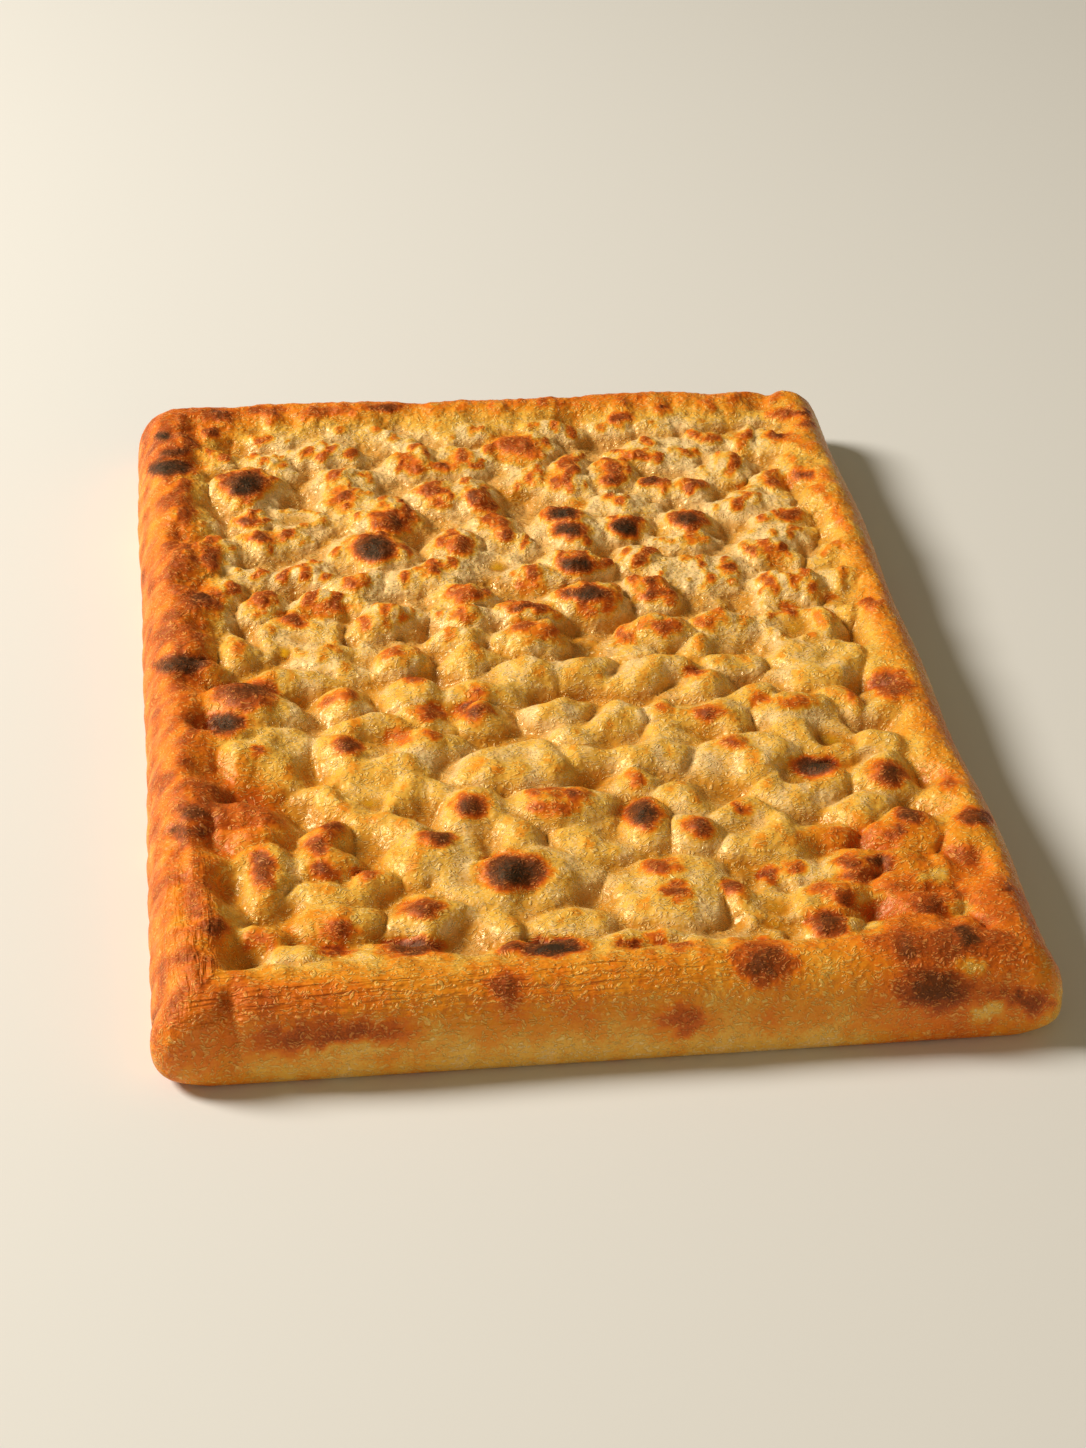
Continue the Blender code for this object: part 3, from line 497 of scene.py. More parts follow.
def breadPoints(u, v):
    place, edge, out = flatSheet(u, v)
    onTop = edge >= sideSheet
    inset = np.where(onTop, edge - spare, np.interp(edge, sideAlong, sideInset))
    rise = np.interp(edge, sideAlong, sideRise)
    plan = place + out * (edge - spare - inset)[:, None]
    x, y = plan.T

    lean = np.where(onTop, 0, np.interp(edge, sideAlong, np.gradient(sideRise, sideAlong)))
    upward = np.sqrt(np.clip(1 - lean**2, 0, 1)) * np.where(edge < form["footHeight"], -1, 1)

    warp, waveLength, seed = form["warp"], form["warpLength"], form["seed"]
    warpedX = x + warp * uneven(x, y, waveLength, seed)
    warpedY = y + warp * uneven(x, y, waveLength, seed + 1)
    dough = pillowHeights(warpedX, warpedY, edge) - form["floorDrop"] - pokeDepths(warpedX, warpedY)
    dough += lumpHeights(x, y) * ease(-10, 40, y)
    dough = hollowed(x, y, dough)
    inland = ease(sideSheet - 14, sideSheet + 2, edge)
    relief = inland * dough + rimUnevenness(place, edge) + cornerBulge(out, edge)
    relief -= foldDepths(x, y) * ease(4, 12, edge)
    above = np.maximum(rise + upward * relief, 0)
    points = np.column_stack([plan + out * (lean * relief)[:, None], above])
    lowest, highest = points.min(0), points.max(0)
    points = breadLow + (points - lowest) * (breadHigh - breadLow) / (highest - lowest)
    return points, place, edge, out


def normalsOf(points, shape):  # of the sheet, from its neighbours along both ways of the grid
    grid = points.reshape(*shape, 3)
    normal = np.cross(np.gradient(grid, axis=1), np.gradient(grid, axis=0))
    normal = normal.reshape(-1, 3)
    return normal / np.linalg.norm(normal, axis=1)[:, None]


def blurred(values, shape, cells):  # over so many cells of the grid
    grid = values.reshape(shape)
    pad = int(3 * cells)
    padded = np.pad(grid, pad, mode="edge")
    fy = np.fft.fftfreq(padded.shape[0])[:, None]
    fx = np.fft.rfftfreq(padded.shape[1])[None, :]
    soft = np.exp(-2 * (math.pi * cells) ** 2 * (fx**2 + fy**2))
    padded = np.fft.irfft2(np.fft.rfft2(padded) * soft, s=padded.shape)
    return padded[pad:-pad, pad:-pad].ravel()


# Where a noted spot lies on the sculpted skin: of the places seen there, the one nearest the eye
def skinPlace(points, noted, x, y):
    away = np.hypot(noted[:, 0] - x, noted[:, 1] - y)
    near = np.flatnonzero(away < max(1.6, away.min() + 0.3))
    depth = np.linalg.norm(points[near] - eye["place"], axis=1)
    return points[near[depth.argmin()]]


def raiseBubbles(points, normal):
    noted = notedAs(points)
    lift = np.zeros(len(points))
    for kind, share in loaf["bubbleShares"].items():
        for x, y, wide, long in burns[kind]:
            size = min(wide, long, loaf["bubbleMost"])
            high = loaf["bubbleRise"] * share * size
            top = skinPlace(points, noted, x, y)
            middle = top.copy()
            middle[:2] = placeAt(x, y, top[2] + high)
            offset = points - middle
            away = np.hypot(offset[:, 0] / (wide * 1.25), offset[:, 1] / (long * 1.25))
            away = np.hypot(away, offset[:, 2] / (size * 2))
            lift = np.maximum(lift, high * (1 - ease(0, 1, away)))
    return points + normal * lift[:, None]


# Each spot's darkness over the skin, scorched to its ragged edge and fading out round it
def spotMap(points, noted, kind, ring, ragged, spread=0.0):
    draw = random.Random(len(kind))
    total = np.zeros(len(points))
    x, y = (noted + ragged).T
    for spotX, spotY, wide, long in burns[kind]:
        top = skinPlace(points, noted, spotX, spotY)
        size = math.sqrt(wide * long)
        away = (np.hypot((x - spotX) / wide, (y - spotY) / long) - 1) * size
        real = np.linalg.norm(points - top, axis=1)
        steps = [-size, -0.4 * size, -0.08 * size, 0.3 * ring, 0.75 * ring, 1.6 * ring]
        shade = np.interp(away, steps, [1, 0.93, 0.77, 0.52, 0.26, 0])
        shade = shade * (1 - ease(1.6, 2.6, real / max(wide, long)))
        total = np.maximum(total, shade * (1 - draw.uniform(0, spread)))
    return total


def softMap(x, y, patches):
    total = np.zeros_like(x)
    for patchX, patchY, wide, long, much in patches:
        away = np.hypot((x - patchX) / wide, (y - patchY) / long)
        total += much * (1 - ease(0.3, 1.35, away))
    return total


# How dark the skin is baked, from 0 for raw dough to 1 for char
baking = {
    "dough": 0.10,
    "farDough": 0.04,
    "wall": 0.28,
    "wallLeft": 0.09,  # more or less on that wall
    "wallBack": 0.03,
    "wallRight": -0.10,
    "wallFoot": -0.12,
    "ribs": 0.24,  # ribs and blotches of the left wall
    "blotches": 0.08,
    "rim": 0.07,  # more along the back and right rim
    "tips": 0.14,
    "farTips": 0.62,  # more over the far half
    "rimTips": 0.4,  # share of both that is left along the back and right rim
    "plainMost": 0.66,  # outside the spots
    "mottling": ((34, 0.035, 21), (11, 0.03, 22)),  # wave length, strength and seed
    "ragged": ((7, 1.3, 24), (3.5, 0.6, 26)),  # the same for the edges of the spots, in millimetres
    "farGaps": 0.5,  # what the hollows of the far half lose of a spot, unless it is char
    "overlap": 0.25,
    "spots": {  # darkness, soft ring in millimetres, share of the raggedness, and how much paler some are
        "brown": (0.78, 3.0, 1, 0.25),
        "dark": (0.84, 2.8, 0.7, 0.15),
        "char": (0.97, 3.0, 0.6, 0.06),
    },
    "paleRing": 1.5,
    "paleShare": 0.75,
}


def bakeOf(points, place, edge, out, proud):
    x, y, z = points.T
    noted = notedAs(points)
    side = 1 - ease(sideSheet - 2, sideSheet + 16, edge)
    leftward, rightward = ease(0.2, 0.9, -out[:, 0]), ease(0.2, 0.9, out[:, 0])
    backward = ease(0.2, 0.9, out[:, 1])
    farHalf = ease(-20, 60, y)

    ribs = 0.5 + 0.5 * np.cos(2 * math.pi * (y + 4 * uneven(*place.T, 45, 35)) / form["ribSpacing"])
    ribs = ribs * ease(-0.3, 1.2, uneven(*place.T, 26, 28)) * ease(4, 22, z)
    wall = baking["wall"] + baking["wallBack"] * backward + baking["wallRight"] * rightward
    wall += leftward * (baking["wallLeft"] + baking["ribs"] * ribs)
    wall += leftward * baking["blotches"] * uneven(*place.T, 9, 36)
    wall += baking["wallFoot"] * (1 - ease(2, 20, z))
    dough = baking["dough"] + (baking["farDough"] - baking["dough"]) * farHalf
    base = dough + side * (wall - dough) + softMap(x, y, toasting)
    for waveLength, strength, seed in baking["mottling"]:
        base += strength * uneven(*place.T, waveLength, seed)

    onRim = (1 - ease(sideSheet + 8, sideSheet + 24, edge)) * ease(-0.2, 0.5, out[:, 0] + out[:, 1])
    tips = ease(0.3, 1.2, proud) * (baking["tips"] + baking["farTips"] * farHalf)
    tips = tips * (1 - (1 - baking["rimTips"]) * onRim) * ease(-0.9, 1.1, uneven(*place.T, 9, 23))
    bake = np.clip(base + baking["rim"] * onRim + tips, 0, baking["plainMost"])

    ragged = np.zeros_like(noted)
    for waveLength, strength, seed in baking["ragged"]:
        ways = [uneven(*place.T, waveLength, seed), uneven(*place.T, waveLength, seed + 1)]
        ragged += strength * np.column_stack(ways)
    broken = 1 - baking["farGaps"] * farHalf * (1 - ease(-0.3, 0.7, proud)) * (1 - side)
    for kind, (level, ring, rough, spread) in baking["spots"].items():
        spot = level * spotMap(points, noted, kind, ring, ragged * rough, spread)
        spot = spot * (broken if kind != "char" else 1)
        bake = np.maximum(bake, spot) + baking["overlap"] * np.minimum(bake, spot) * (1 - bake)
    pale = spotMap(points, noted, "pale", baking["paleRing"], ragged)
    return np.clip(bake * (1 - baking["paleShare"] * pale), 0, 1)


# Oil soaked into the folds, and painted shade that darkens the hollows, both as a share of one deeper yellow
# tint
def oilAndHollowShadeOf(points, noted, proud, deep):
    x, y = noted.T
    total = np.zeros(len(points))
    for filmX, filmY, wide, long in films:
        away = np.hypot((x - filmX) / wide, (y - filmY) / long)
        total = np.maximum(total, 1 - ease(0.2, 1.3, away))
    # painted shade: the further a place lies below its blurred skin, the more it is darkened
    hollowShade = np.maximum(0.7 * ease(0.1, 1.6, -proud), ease(0.3, 3.4, deep))
    return np.clip(0.6 * total * (0.3 + 0.7 * hollowShade) + 0.8 * hollowShade, 0, 1)


def coordinatesOf(mesh):
    flat = np.empty(len(mesh.vertices) * 3)
    mesh.vertices.foreach_get("co", flat)
    return flat.reshape(-1, 3)


def setAttribute(mesh, name, values):
    attribute = mesh.attributes.new(name, "FLOAT", "POINT")
    attribute.data.foreach_set("value", np.asarray(values, np.float32))


# Which point of the sheet each vertex is at, or -1 in the sole, since an inset moves the outline's vertices
def sheetPoints(mesh, points):
    places = coordinatesOf(mesh) / mm
    source = np.arange(len(places))
    stayed = source < len(points)
    stayed[stayed] = np.abs(places[: len(points)] - points).max(1) < loaf["sameSpot"]
    outline = np.flatnonzero(~stayed[: len(points)])
    for vertex in np.flatnonzero(~stayed):
        away = np.abs(points[outline] - places[vertex]).max(1)
        source[vertex] = outline[away.argmin()] if away.min() < loaf["sameSpot"] else -1
    return source


# Curds where the dough rose in clots, finer crumbs and knobs over them, all of it calm in the oil
def addCurds(points, place, edge, curdled, onTop, normal):
    calm = (0.3 + 0.7 * ease(0.5, 1.2, poolReach(*points[:, :2].T))) * ease(4, 16, edge)
    near, luck = scattered(place, loaf["curdSpacing"], 31)
    curd = (1 - ease(0.0, 0.75, near)) * (0.25 + 1.2 * luck)
    near, luck = scattered(place + 1.5, loaf["crumbSpacing"], 32)
    crumb = (1 - ease(0.0, 0.7, near)) * (0.2 + 1.1 * luck)
    small = loaf["curdHeight"] * curd * curdled + loaf["crumbHeight"] * crumb * (0.3 + 0.7 * curdled)
    small += loaf["knobHeight"] * uneven(*place.T, loaf["knobLength"], 33) * onTop
    return points + normal * (small * calm)[:, None]


def pressTops(points):
    over = np.maximum(points[:, 2] - loaf["highFrom"], 0)
    points[:, 2] -= over - loaf["highSpare"] * (1 - np.exp(-over / loaf["highSpare"]))
    points[:, 2] = np.maximum(points[:, 2], 0)


# The sole: one face over the open outline, inset a few times
def closeUnderneath():
    bpy.ops.object.mode_set(mode="EDIT")
    bpy.ops.mesh.select_mode(type="EDGE")
    bpy.ops.mesh.select_all(action="DESELECT")
    bpy.ops.mesh.select_non_manifold()
    bpy.ops.mesh.edge_face_add()
    for inset in loaf["soleInsets"]:
        bpy.ops.mesh.inset(thickness=inset * mm)
    bpy.ops.mesh.select_all(action="SELECT")
    bpy.ops.mesh.normals_make_consistent(inside=False)
    bpy.ops.object.mode_set(mode="OBJECT")
    bpy.ops.object.shade_smooth()


def makeLoaf():
    bpy.ops.object.select_all(action="DESELECT")
    bpy.ops.mesh.primitive_grid_add(x_subdivisions=loaf["columns"], y_subdivisions=loaf["rows"], size=2)
    bread = bpy.context.object
    bread.name = loaf["name"]
    mesh = bread.data
    u, v, _ = coordinatesOf(mesh).T
    shape = (loaf["rows"] + 1, loaf["columns"] + 1)
    u = spreadOut(u, breadWidth / 2 + spare)
    v = spreadOut(v, breadLength / 2 + spare)
    points, place, edge, out = breadPoints(u, v)
    onTop = ease(sideSheet - 10, sideSheet + 8, edge)
    curdled = onTop * (0.25 + 0.75 * ease(-25, 40, points[:, 1])) + 0.12 * (1 - onTop)
    normal = normalsOf(points, shape)
    points = addCurds(points, place, edge, curdled, onTop, normal)
    points = raiseBubbles(points, normal)
    pressTops(points)
    mesh.vertices.foreach_set("co", (points * mm).ravel())
    mesh.update()
    closeUnderneath()

    proud = (points[:, 2] - blurred(points[:, 2], shape, loaf["tipBlur"])) * onTop
    deep = blurred(points[:, 2], shape, loaf["hollowBlur"]) - points[:, 2]
    # oil soak, and painted shade in the hollows
    oilAndShade = oilAndHollowShadeOf(points, notedAs(points), proud, deep) * onTop
    acrossFront, downLeft = stretchOf(points, out, edge)
    fields = (  # name, values over the sheet, value in the sole
        ("bake", bakeOf(points, place, edge, out, proud), loaf["soleBake"]),
        ("oilAndShade", oilAndShade, loaf["soleOilAndShade"]),
        ("sole", 1 - ease(0, 2.5, points[:, 2]), 1),
        ("curdled", curdled, 0),
        ("acrossFront", acrossFront, 0),
        ("downLeft", downLeft, 0),
    )
    source = sheetPoints(mesh, points)
    for name, values, inSole in fields:
        setAttribute(mesh, name, np.where(source < 0, inSole, values[source]))
    mesh.materials.append(crustMaterial())
    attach(bread, "root")
    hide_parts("bread")
    print("loaf:", len(mesh.vertices), "vertices")
    return bread


# How far the skin is drawn into fine wrinkles, along the front rim and round its left corner
def stretchOf(points, out, edge):
    x, y, _ = points.T
    band = ease(sideSheet - 24, sideSheet - 10, edge) * (1 - ease(sideSheet + 4, sideSheet + 12, edge))
    front = ease(0.3, 0.9, -out[:, 1]) * band * (1 - ease(-10, 60, x))
    below = 1 - ease(sideSheet + 2, sideSheet + 12, edge)
    left = ease(0.3, 0.9, -out[:, 0]) * below * (1 - ease(-150, -95, y))
    return front, left


def srgb(red, green, blue):
    values = [value / 255 for value in (red, green, blue)]
    linear = [v / 12.92 if v <= 0.04045 else ((v + 0.055) / 1.055) ** 2.4 for v in values]
    return (*linear, 1.0)


# The crust's colours by how dark it is baked, and its patterns, in cells or waves to the metre
crust = {
    "name": "bakedCrust",
    "ramp": (
        (0.00, (246, 213, 156)),
        (0.14, (236, 185, 76)),
        (0.30, (232, 146, 30)),
        (0.44, (226, 120, 16)),
        (0.58, (200, 94, 12)),
        (0.70, (158, 68, 8)),
        (0.84, (102, 46, 8)),
        (1.00, (46, 27, 12)),
    ),
    # a deeper yellow for soaked oil and for painted shade in the hollows, and its greatest share
    "oilAndShadeTint": (206, 160, 40),
    "oilAndShadeShare": 0.9,
    # painted highlight: the pale colour mixed into the raised strokes
    "strokeGlintColour": (255, 220, 134),
    "grainScale": (320.0, 1000.0, 700.0),  # along and across the raised strokes
    "grainTurns": (20, 80, 140),
    "grainGaps": 0.3,  # share of them left out
    "grainBend": (0.006, 0.006, 0.006),
    "bendScale": 230,
    "pinScale": 480.0,
    "fineScale": 1500.0,
    "speckle": 0.3,  # how far each pattern changes the baking
    # painted highlight: how much less baked the raised strokes look
    "strokeGlintPaler": 0.10,
    "blotchScale": 160,
    "blotch": 0.30,
    "cloudScale": 34,
    "cloud": 1.3,
    "wrinkleScale": 400,
    "wrinkles": {"acrossFront": (0.12, 1, 1), "downLeft": (1, 0.14, 1)},  # drawn out along one way
    "wrinkleHeight": 2.6,  # heights of the patterns, each times bumpHeight
    "strokeHeight": 0.36,
    "pinHeight": 0.55,
    "curdHeight": 0.45,
    "fineHeight": 0.06,
    "bumpHeight": 0.0008,  # in metres
    "roughness": 0.32,
    "wetRoughness": 0.2,
    "fineRoughness": 0.3,
    "burntRoughness": 0.4,
    "strokeGloss": 0.12,
    "shine": 0.45,
    "shineTint": (1.0, 0.83, 0.58, 1.0),
    "glow": 0.15,  # light scattered in the crumb, and how far, in metres
    "glowReach": 0.004,
    "glowColour": (1.0, 0.6, 0.25),
}


def newMaterial(name):
    made = bpy.data.materials.new(name)
    made.use_nodes = True
    return made, made.node_tree, made.node_tree.nodes["Principled BSDF"]


def setInputs(node, inputs):  # to a value, or linked to another node's socket
    for name, value in inputs.items():
        if isinstance(value, bpy.types.NodeSocket):
            node.id_data.links.new(value, node.inputs[name])
        else:
            node.inputs[name].default_value = value


def newNode(tree, kind, inputs, **settings):
    node = tree.nodes.new(kind)
    for name, value in settings.items():
        setattr(node, name, value)
    setInputs(node, inputs)
    return node


def attributeOf(tree, name):
    return newNode(tree, "ShaderNodeAttribute", {}, attribute_name=name).outputs["Fac"]


def mathOf(tree, operation, first, second, clamp=False):
    inputs = {0: first, 1: second}
    return newNode(tree, "ShaderNodeMath", inputs, operation=operation, use_clamp=clamp).outputs[0]


def plus(tree, first, second, clamp=False):
    return mathOf(tree, "ADD", first, second, clamp)


def minus(tree, first, second, clamp=False):
    return mathOf(tree, "SUBTRACT", first, second, clamp)


def times(tree, first, second, clamp=False):
    return mathOf(tree, "MULTIPLY", first, second, clamp)


def noiseOf(tree, place, scale, detail, distortion=0.0):
    inputs = {"Vector": place, "Scale": scale, "Detail": detail, "Distortion": distortion}
    return newNode(tree, "ShaderNodeTexNoise", inputs).outputs["Fac"]


def mixOf(tree, blend, share, first, second):
    inputs = {0: share, 6: first, 7: second}
    return newNode(tree, "ShaderNodeMix", inputs, data_type="RGBA", blend_type=blend).outputs[2]


def bumpOf(tree, height, distance):
    inputs = {"Height": height, "Strength": 1.0, "Distance": distance}
    return newNode(tree, "ShaderNodeBump", inputs).outputs["Normal"]


# Short raised strokes lying every way: three sets of stretched cells, each turned, and many cells left out
def grainsOf(tree, place):
    inputs = {"Vector": place, "Scale": crust["bendScale"], "Detail": 1}
    wander = newNode(tree, "ShaderNodeTexNoise", inputs).outputs["Color"]
    inputs = {0: wander, 1: crust["grainBend"], 2: place}
    bent = newNode(tree, "ShaderNodeVectorMath", inputs, operation="MULTIPLY_ADD").outputs["Vector"]
    grains = 0.0
    for turn in crust["grainTurns"]:
        inputs = {"Vector": bent, "Rotation": (0, 0, math.radians(turn)), "Scale": crust["grainScale"]}
        lying = newNode(tree, "ShaderNodeMapping", inputs).outputs["Vector"]
        cell = newNode(tree, "ShaderNodeTexVoronoi", {"Vector": lying, "Scale": 1, "Randomness": 0.9})
        chance = newNode(tree, "ShaderNodeSeparateColor", {0: cell.outputs["Color"]}).outputs[0]
        kept = mathOf(tree, "GREATER_THAN", chance, crust["grainGaps"])
        crest = times(tree, minus(tree, 0.36, cell.outputs["Distance"], clamp=True), 5.5, clamp=True)
        grains = mathOf(tree, "MAXIMUM", grains, times(tree, crest, kept))
    return grains


# The baking again, broken up into specks and blotches, with painted highlights as paler raised strokes, and
# into wide clouds where the sole fried on the tin
def brokenBake(tree, place, bake, fine, grain):
    speck = times(tree, minus(tree, fine, 0.5), crust["speckle"])
    speck = minus(tree, speck, times(tree, grain, crust["strokeGlintPaler"]))
    blotch = minus(tree, noiseOf(tree, place, crust["blotchScale"], 3, 0.5), 0.5)
    blotch = times(tree, blotch, crust["blotch"])
    browned = plus(tree, times(tree, bake, 1.8), 0.2, clamp=True)
    blotch = times(tree, blotch, browned)
    cloud = minus(tree, noiseOf(tree, place, crust["cloudScale"], 5, 0.8), 0.5)
    cloud = times(tree, cloud, crust["cloud"])
    blotch = plus(tree, blotch, times(tree, cloud, attributeOf(tree, "sole")))
    return plus(tree, plus(tree, bake, speck), blotch, clamp=True)


# Its colour, a deeper yellow where oil soaks it and painted shade where the hollows lie, and painted
# highlights as paler strokes over that, most of all where it is brown
def crustColour(tree, total, oilAndShade, grain):
    ramp = newNode(tree, "ShaderNodeValToRGB", {"Fac": total})
    ramp.color_ramp.interpolation = "EASE"
    stops = ramp.color_ramp.elements
    for number, (position, colour) in enumerate(crust["ramp"]):
        stop = stops[number] if number < 2 else stops.new(position)
        stop.position = position
        stop.color = srgb(*colour)
    # oil soak and painted shade multiply the colour into a deeper yellow
    share = times(tree, oilAndShade, crust["oilAndShadeShare"])
    colour = mixOf(tree, "MULTIPLY", share, ramp.outputs["Color"], srgb(*crust["oilAndShadeTint"]))
    unburnt = minus(tree, 1.15, times(tree, total, 1.35), clamp=True)
    # painted highlights: the raised strokes mixed toward a pale colour
    glintShare = times(tree, plus(tree, times(tree, total, 0.4), 0.36), unburnt)
    return mixOf(tree, "MIX", times(tree, glintShare, grain), colour, srgb(*crust["strokeGlintColour"]))


# The strokes, pinheads between them, drawn-out wrinkles on the front rim, and a fine tooth
def crustRelief(tree, place, fine, grain):
    inputs = {"Vector": place, "Scale": crust["pinScale"]}
    pin = newNode(tree, "ShaderNodeTexVoronoi", inputs, feature="SMOOTH_F1")
    bead = minus(tree, 0.6, pin.outputs["Distance"], clamp=True)
    beadHeight = times(tree, attributeOf(tree, "curdled"), crust["curdHeight"])
    bead = times(tree, bead, plus(tree, beadHeight, crust["pinHeight"]))
    height = plus(tree, times(tree, grain, crust["strokeHeight"]), bead)
    for name, scale in crust["wrinkles"].items():
        drawnOut = newNode(tree, "ShaderNodeMapping", {"Vector": place, "Scale": scale}).outputs["Vector"]
        drawn = noiseOf(tree, drawnOut, crust["wrinkleScale"], 2, 0.6)
        drawn = times(tree, drawn, times(tree, attributeOf(tree, name), crust["wrinkleHeight"]))
        height = plus(tree, height, drawn)
    height = plus(tree, height, times(tree, fine, crust["fineHeight"]))
    return bumpOf(tree, height, crust["bumpHeight"])


def crustMaterial():
    made, tree, shader = newMaterial(crust["name"])
    place = newNode(tree, "ShaderNodeTexCoord", {}).outputs["Object"]
    bake = attributeOf(tree, "bake")
    # where oil soaks and where painted shade lies in the hollows
    oilAndShade = attributeOf(tree, "oilAndShade")
    fine = noiseOf(tree, place, crust["fineScale"], 2)
    grain = grainsOf(tree, place)
    total = brokenBake(tree, place, bake, fine, grain)
    rough = minus(tree, crust["roughness"], times(tree, oilAndShade, crust["roughness"] - crust["wetRoughness"]))
    rough = plus(tree, rough, times(tree, minus(tree, fine, 0.5), crust["fineRoughness"]))
    rough = plus(tree, rough, times(tree, bake, crust["burntRoughness"]))
    rough = minus(tree, rough, times(tree, grain, crust["strokeGloss"]))
    setInputs(shader, {
        "Base Color": crustColour(tree, total, oilAndShade, grain),
        "Normal": crustRelief(tree, place, fine, grain),
        "Roughness": rough,
        "Subsurface Weight": crust["glow"],
        "Subsurface Radius": crust["glowColour"],
        "Subsurface Scale": crust["glowReach"],
        "Specular IOR Level": crust["shine"],
        "Specular Tint": crust["shineTint"],
    })
    return made


# The pools: each a disc laid over its poke and sunk under the dough all round, clearer where it is shallow
pool = {
    "rings": 14,
    "sides": 48,
    "ringsReach": 0.97,  # share of the disc that they take up
    "wider": 1.5,  # than the CAD's puddle, to reach under the dough all round
    "sunk": 0.35,
    "thick": 0.9,
    "deep": 1.7,  # highest level over the bottom of the basin
    "rimDip": 1.5,
    "fullDepth": 1.7,  # where it hides the most of the dough, and how much
    "hides": 0.7,
    "colours": ((240, 188, 38), (216, 158, 14)),
    "cloudScale": 220,
    "rippleScale": 330,
    "rippleHeight": 0.0007,
    "roughness": 0.05,
    "ior": 1.47,
}


def oilMaterial():
    made, tree, shader = newMaterial("oliveOil")
    place = newNode(tree, "ShaderNodeTexCoord", {}).outputs["Object"]
    cloud = noiseOf(tree, place, pool["cloudScale"], 2)
    ripple = noiseOf(tree, place, pool["rippleScale"], 2)
    setInputs(shader, {
        "Base Color": mixOf(tree, "MIX", cloud, *(srgb(*tone) for tone in pool["colours"])),
        "Normal": bumpOf(tree, ripple, pool["rippleHeight"]),
        "Roughness": pool["roughness"],
        "IOR": pool["ior"],
        "Alpha": times(tree, attributeOf(tree, "depth"), pool["hides"]),
    })
    return made


# Height of the dough under each place, from its nearest points
def skinHeights(bread, places):
    skin = coordinatesOf(bread.data) / mm
    skin = skin[skin[:, 2] > form["footHeight"]]
    heights = []
    for x, y in places:
        away = np.hypot(skin[:, 0] - x, skin[:, 1] - y)
        near = np.argpartition(away, 4)[:4]
        weight = 1 / (away[near] + 0.05)
        heights.append((skin[near, 2] * weight).sum() / weight.sum())
    return np.array(heights)


def makePool(number, bread, oil):
    node = f"oil_{number}"
    low, high = (np.array(corner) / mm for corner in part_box(node))
    cx, cy = (low[:2] + high[:2]) / 2
    wide, long = (high[:2] - low[:2]) / 2 * pool["wider"]
    bpy.ops.object.select_all(action="DESELECT")
    bpy.ops.mesh.primitive_circle_add(vertices=pool["sides"], radius=1, fill_type="NGON")
    piece = bpy.context.object
    piece.name = f"oilPool{number}"
    bpy.ops.object.mode_set(mode="EDIT")
    for _ in range(pool["rings"]):
        bpy.ops.mesh.inset(thickness=pool["ringsReach"] / pool["rings"])
    bpy.ops.mesh.poke()
    bpy.ops.object.mode_set(mode="OBJECT")
    flat = np.array([vert.co[:2] for vert in piece.data.vertices])
    away = np.hypot(*flat.T)
    places = flat * [wide, long] + [cx, cy]
    skin = skinHeights(bread, places)
    level = min(high[2], skin[away < 0.5].min() + pool["deep"])
    surface = level - pool["rimDip"] * ease(0.75, 1.0, away)
    depth = surface - skin
    surface = np.where(depth > 0, surface, np.minimum(surface, skin - pool["sunk"]))
    for vert, (x, y), z in zip(piece.data.vertices, places, surface):
        vert.co = (x * mm, y * mm, z * mm)
    bpy.ops.object.modifier_add(type="SOLIDIFY")
    piece.modifiers[-1].thickness = pool["thick"] * mm
    piece.modifiers[-1].offset = -1
    bpy.ops.object.modifier_apply(modifier=piece.modifiers[-1].name)
    bpy.ops.object.shade_smooth()
    clear = np.concatenate([depth, depth])[: len(piece.data.vertices)]
    setAttribute(piece.data, "depth", ease(0, pool["fullDepth"], clear))
    piece.data.materials.append(oil)
    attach(piece, "root")
    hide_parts(node)


def makePools(bread):
    oil = oilMaterial()
    for number in range(1, len(poolPlaces) + 1):
        makePool(number, bread, oil)
    print("pools:", len(poolPlaces))


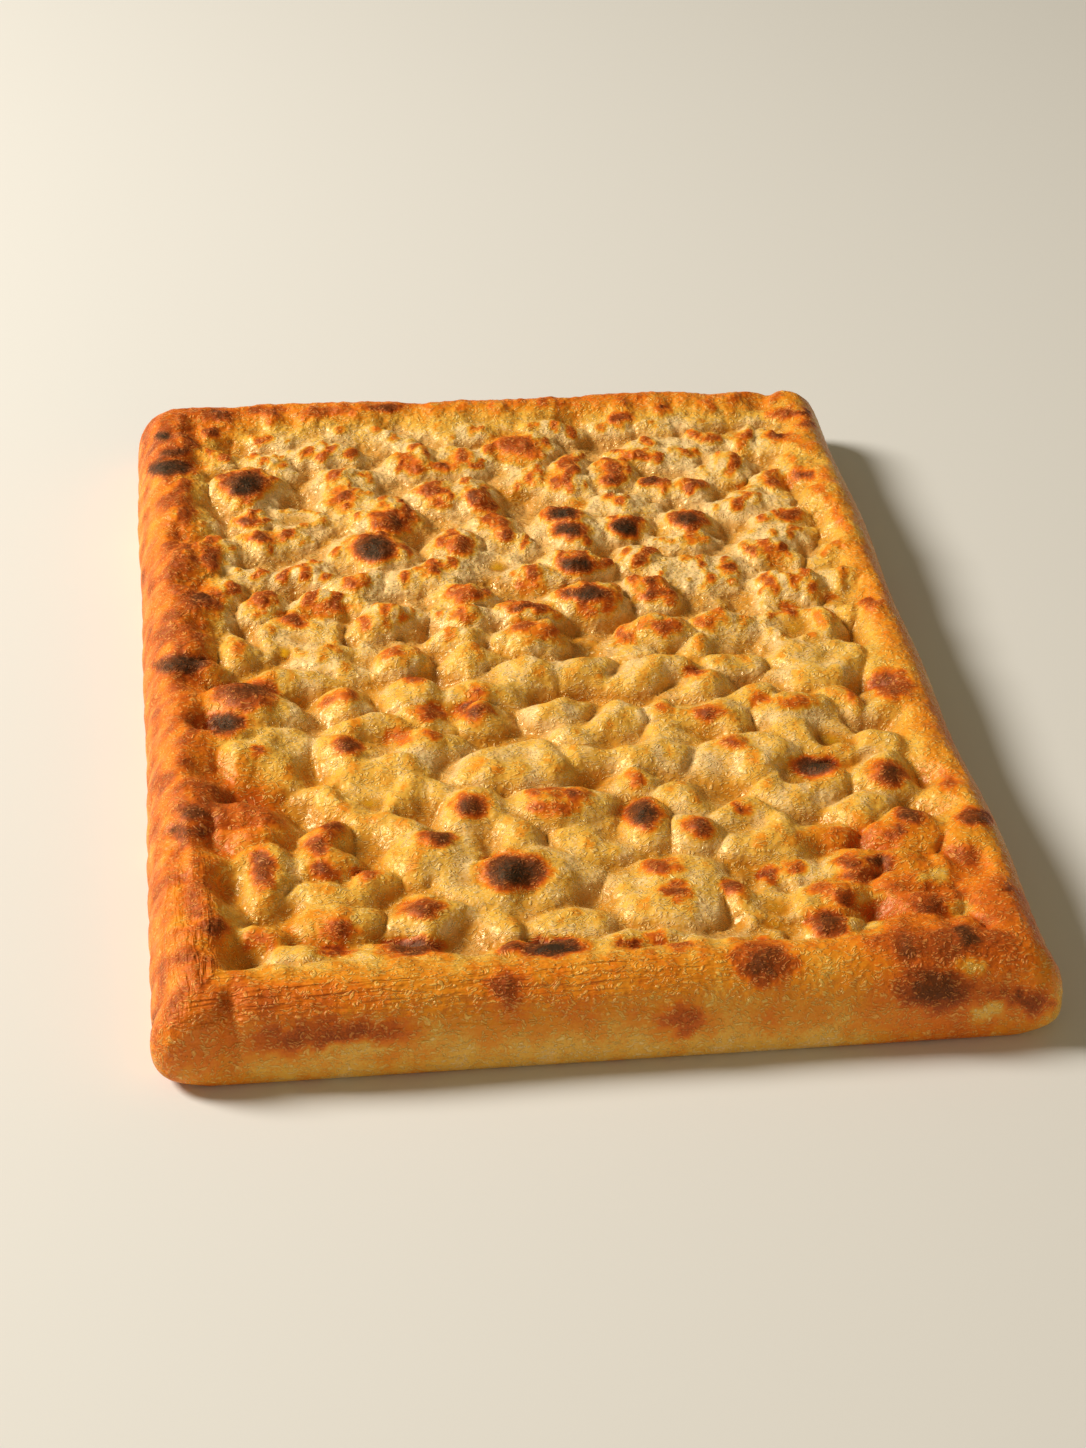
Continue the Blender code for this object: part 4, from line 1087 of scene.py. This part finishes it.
# The table top, the lamps and the camera
studio = {
    "floorColour": (224, 228, 236),
    "skyColour": (1.0, 0.82, 0.48, 1.0),
    "skyStrength": 0.19,
    "lamps": {  # degrees from +Y, degrees up, distance and size in metres, watts, colour
        "softKey": (-75, 38, 2.4, 0.8, 79.0, (1.0, 0.9, 0.73)),
        "bounce": (165, 14, 1.8, 1.2, 4.0, (1.0, 0.72, 0.42)),
    },
}


def makeFloor():
    bpy.ops.object.select_all(action="DESELECT")
    bpy.ops.mesh.primitive_plane_add(size=8, location=(0, 0, -0.0001))
    floor = bpy.context.object
    floor.name = "paleTable"
    made, _, shader = newMaterial("paleTable")
    setInputs(shader, {"Base Color": srgb(*studio["floorColour"]), "Roughness": 0.8})
    floor.data.materials.append(made)


def addLamp(name, azimuth, above, distance, size, power, colour):
    turn, lift = math.radians(azimuth), math.radians(above)
    aim = np.array([math.sin(turn) * math.cos(lift), math.cos(turn) * math.cos(lift), math.sin(lift)])
    bpy.ops.object.light_add(type="AREA", location=tuple(aim * distance))
    lamp = bpy.context.object
    lamp.name = name
    lamp.rotation_euler = (math.pi / 2 - lift, 0, math.pi - turn)
    lamp.data.shape = "DISK"
    lamp.data.size = size
    lamp.data.energy = power
    lamp.data.color = colour


def makeLight():
    world = bpy.data.worlds.new("softRoom")
    bpy.context.scene.world = world
    world.use_nodes = True
    sky = {"Color": studio["skyColour"], "Strength": studio["skyStrength"]}
    setInputs(world.node_tree.nodes["Background"], sky)
    for name, settings in studio["lamps"].items():
        addLamp(name, *settings)


def makeCamera():
    data = bpy.data.cameras.new("viewCamera")
    data.sensor_fit = "VERTICAL"
    data.sensor_height = 36
    data.lens = eye["lens"]
    data.clip_start = 0.05
    camera = bpy.data.objects.new("viewCamera", data)
    bpy.context.scene.collection.objects.link(camera)
    turn = Matrix.Rotation(math.radians(eye["yaw"]), 4, "Z")
    tilt = Matrix.Rotation(math.radians(eye["pitch"]), 4, "X")
    roll = Matrix.Rotation(math.radians(eye["roll"]), 4, "Z")
    stand = Matrix.Translation([value * mm for value in eye["place"]])
    camera.matrix_world = stand @ turn @ tilt @ roll
    bpy.context.scene.camera = camera
    bpy.context.scene.view_settings.view_transform = "Standard"


loafPiece = makeLoaf()
makePools(loafPiece)
makeFloor()
makeLight()
makeCamera()
print("scene: floor, lamps and camera")
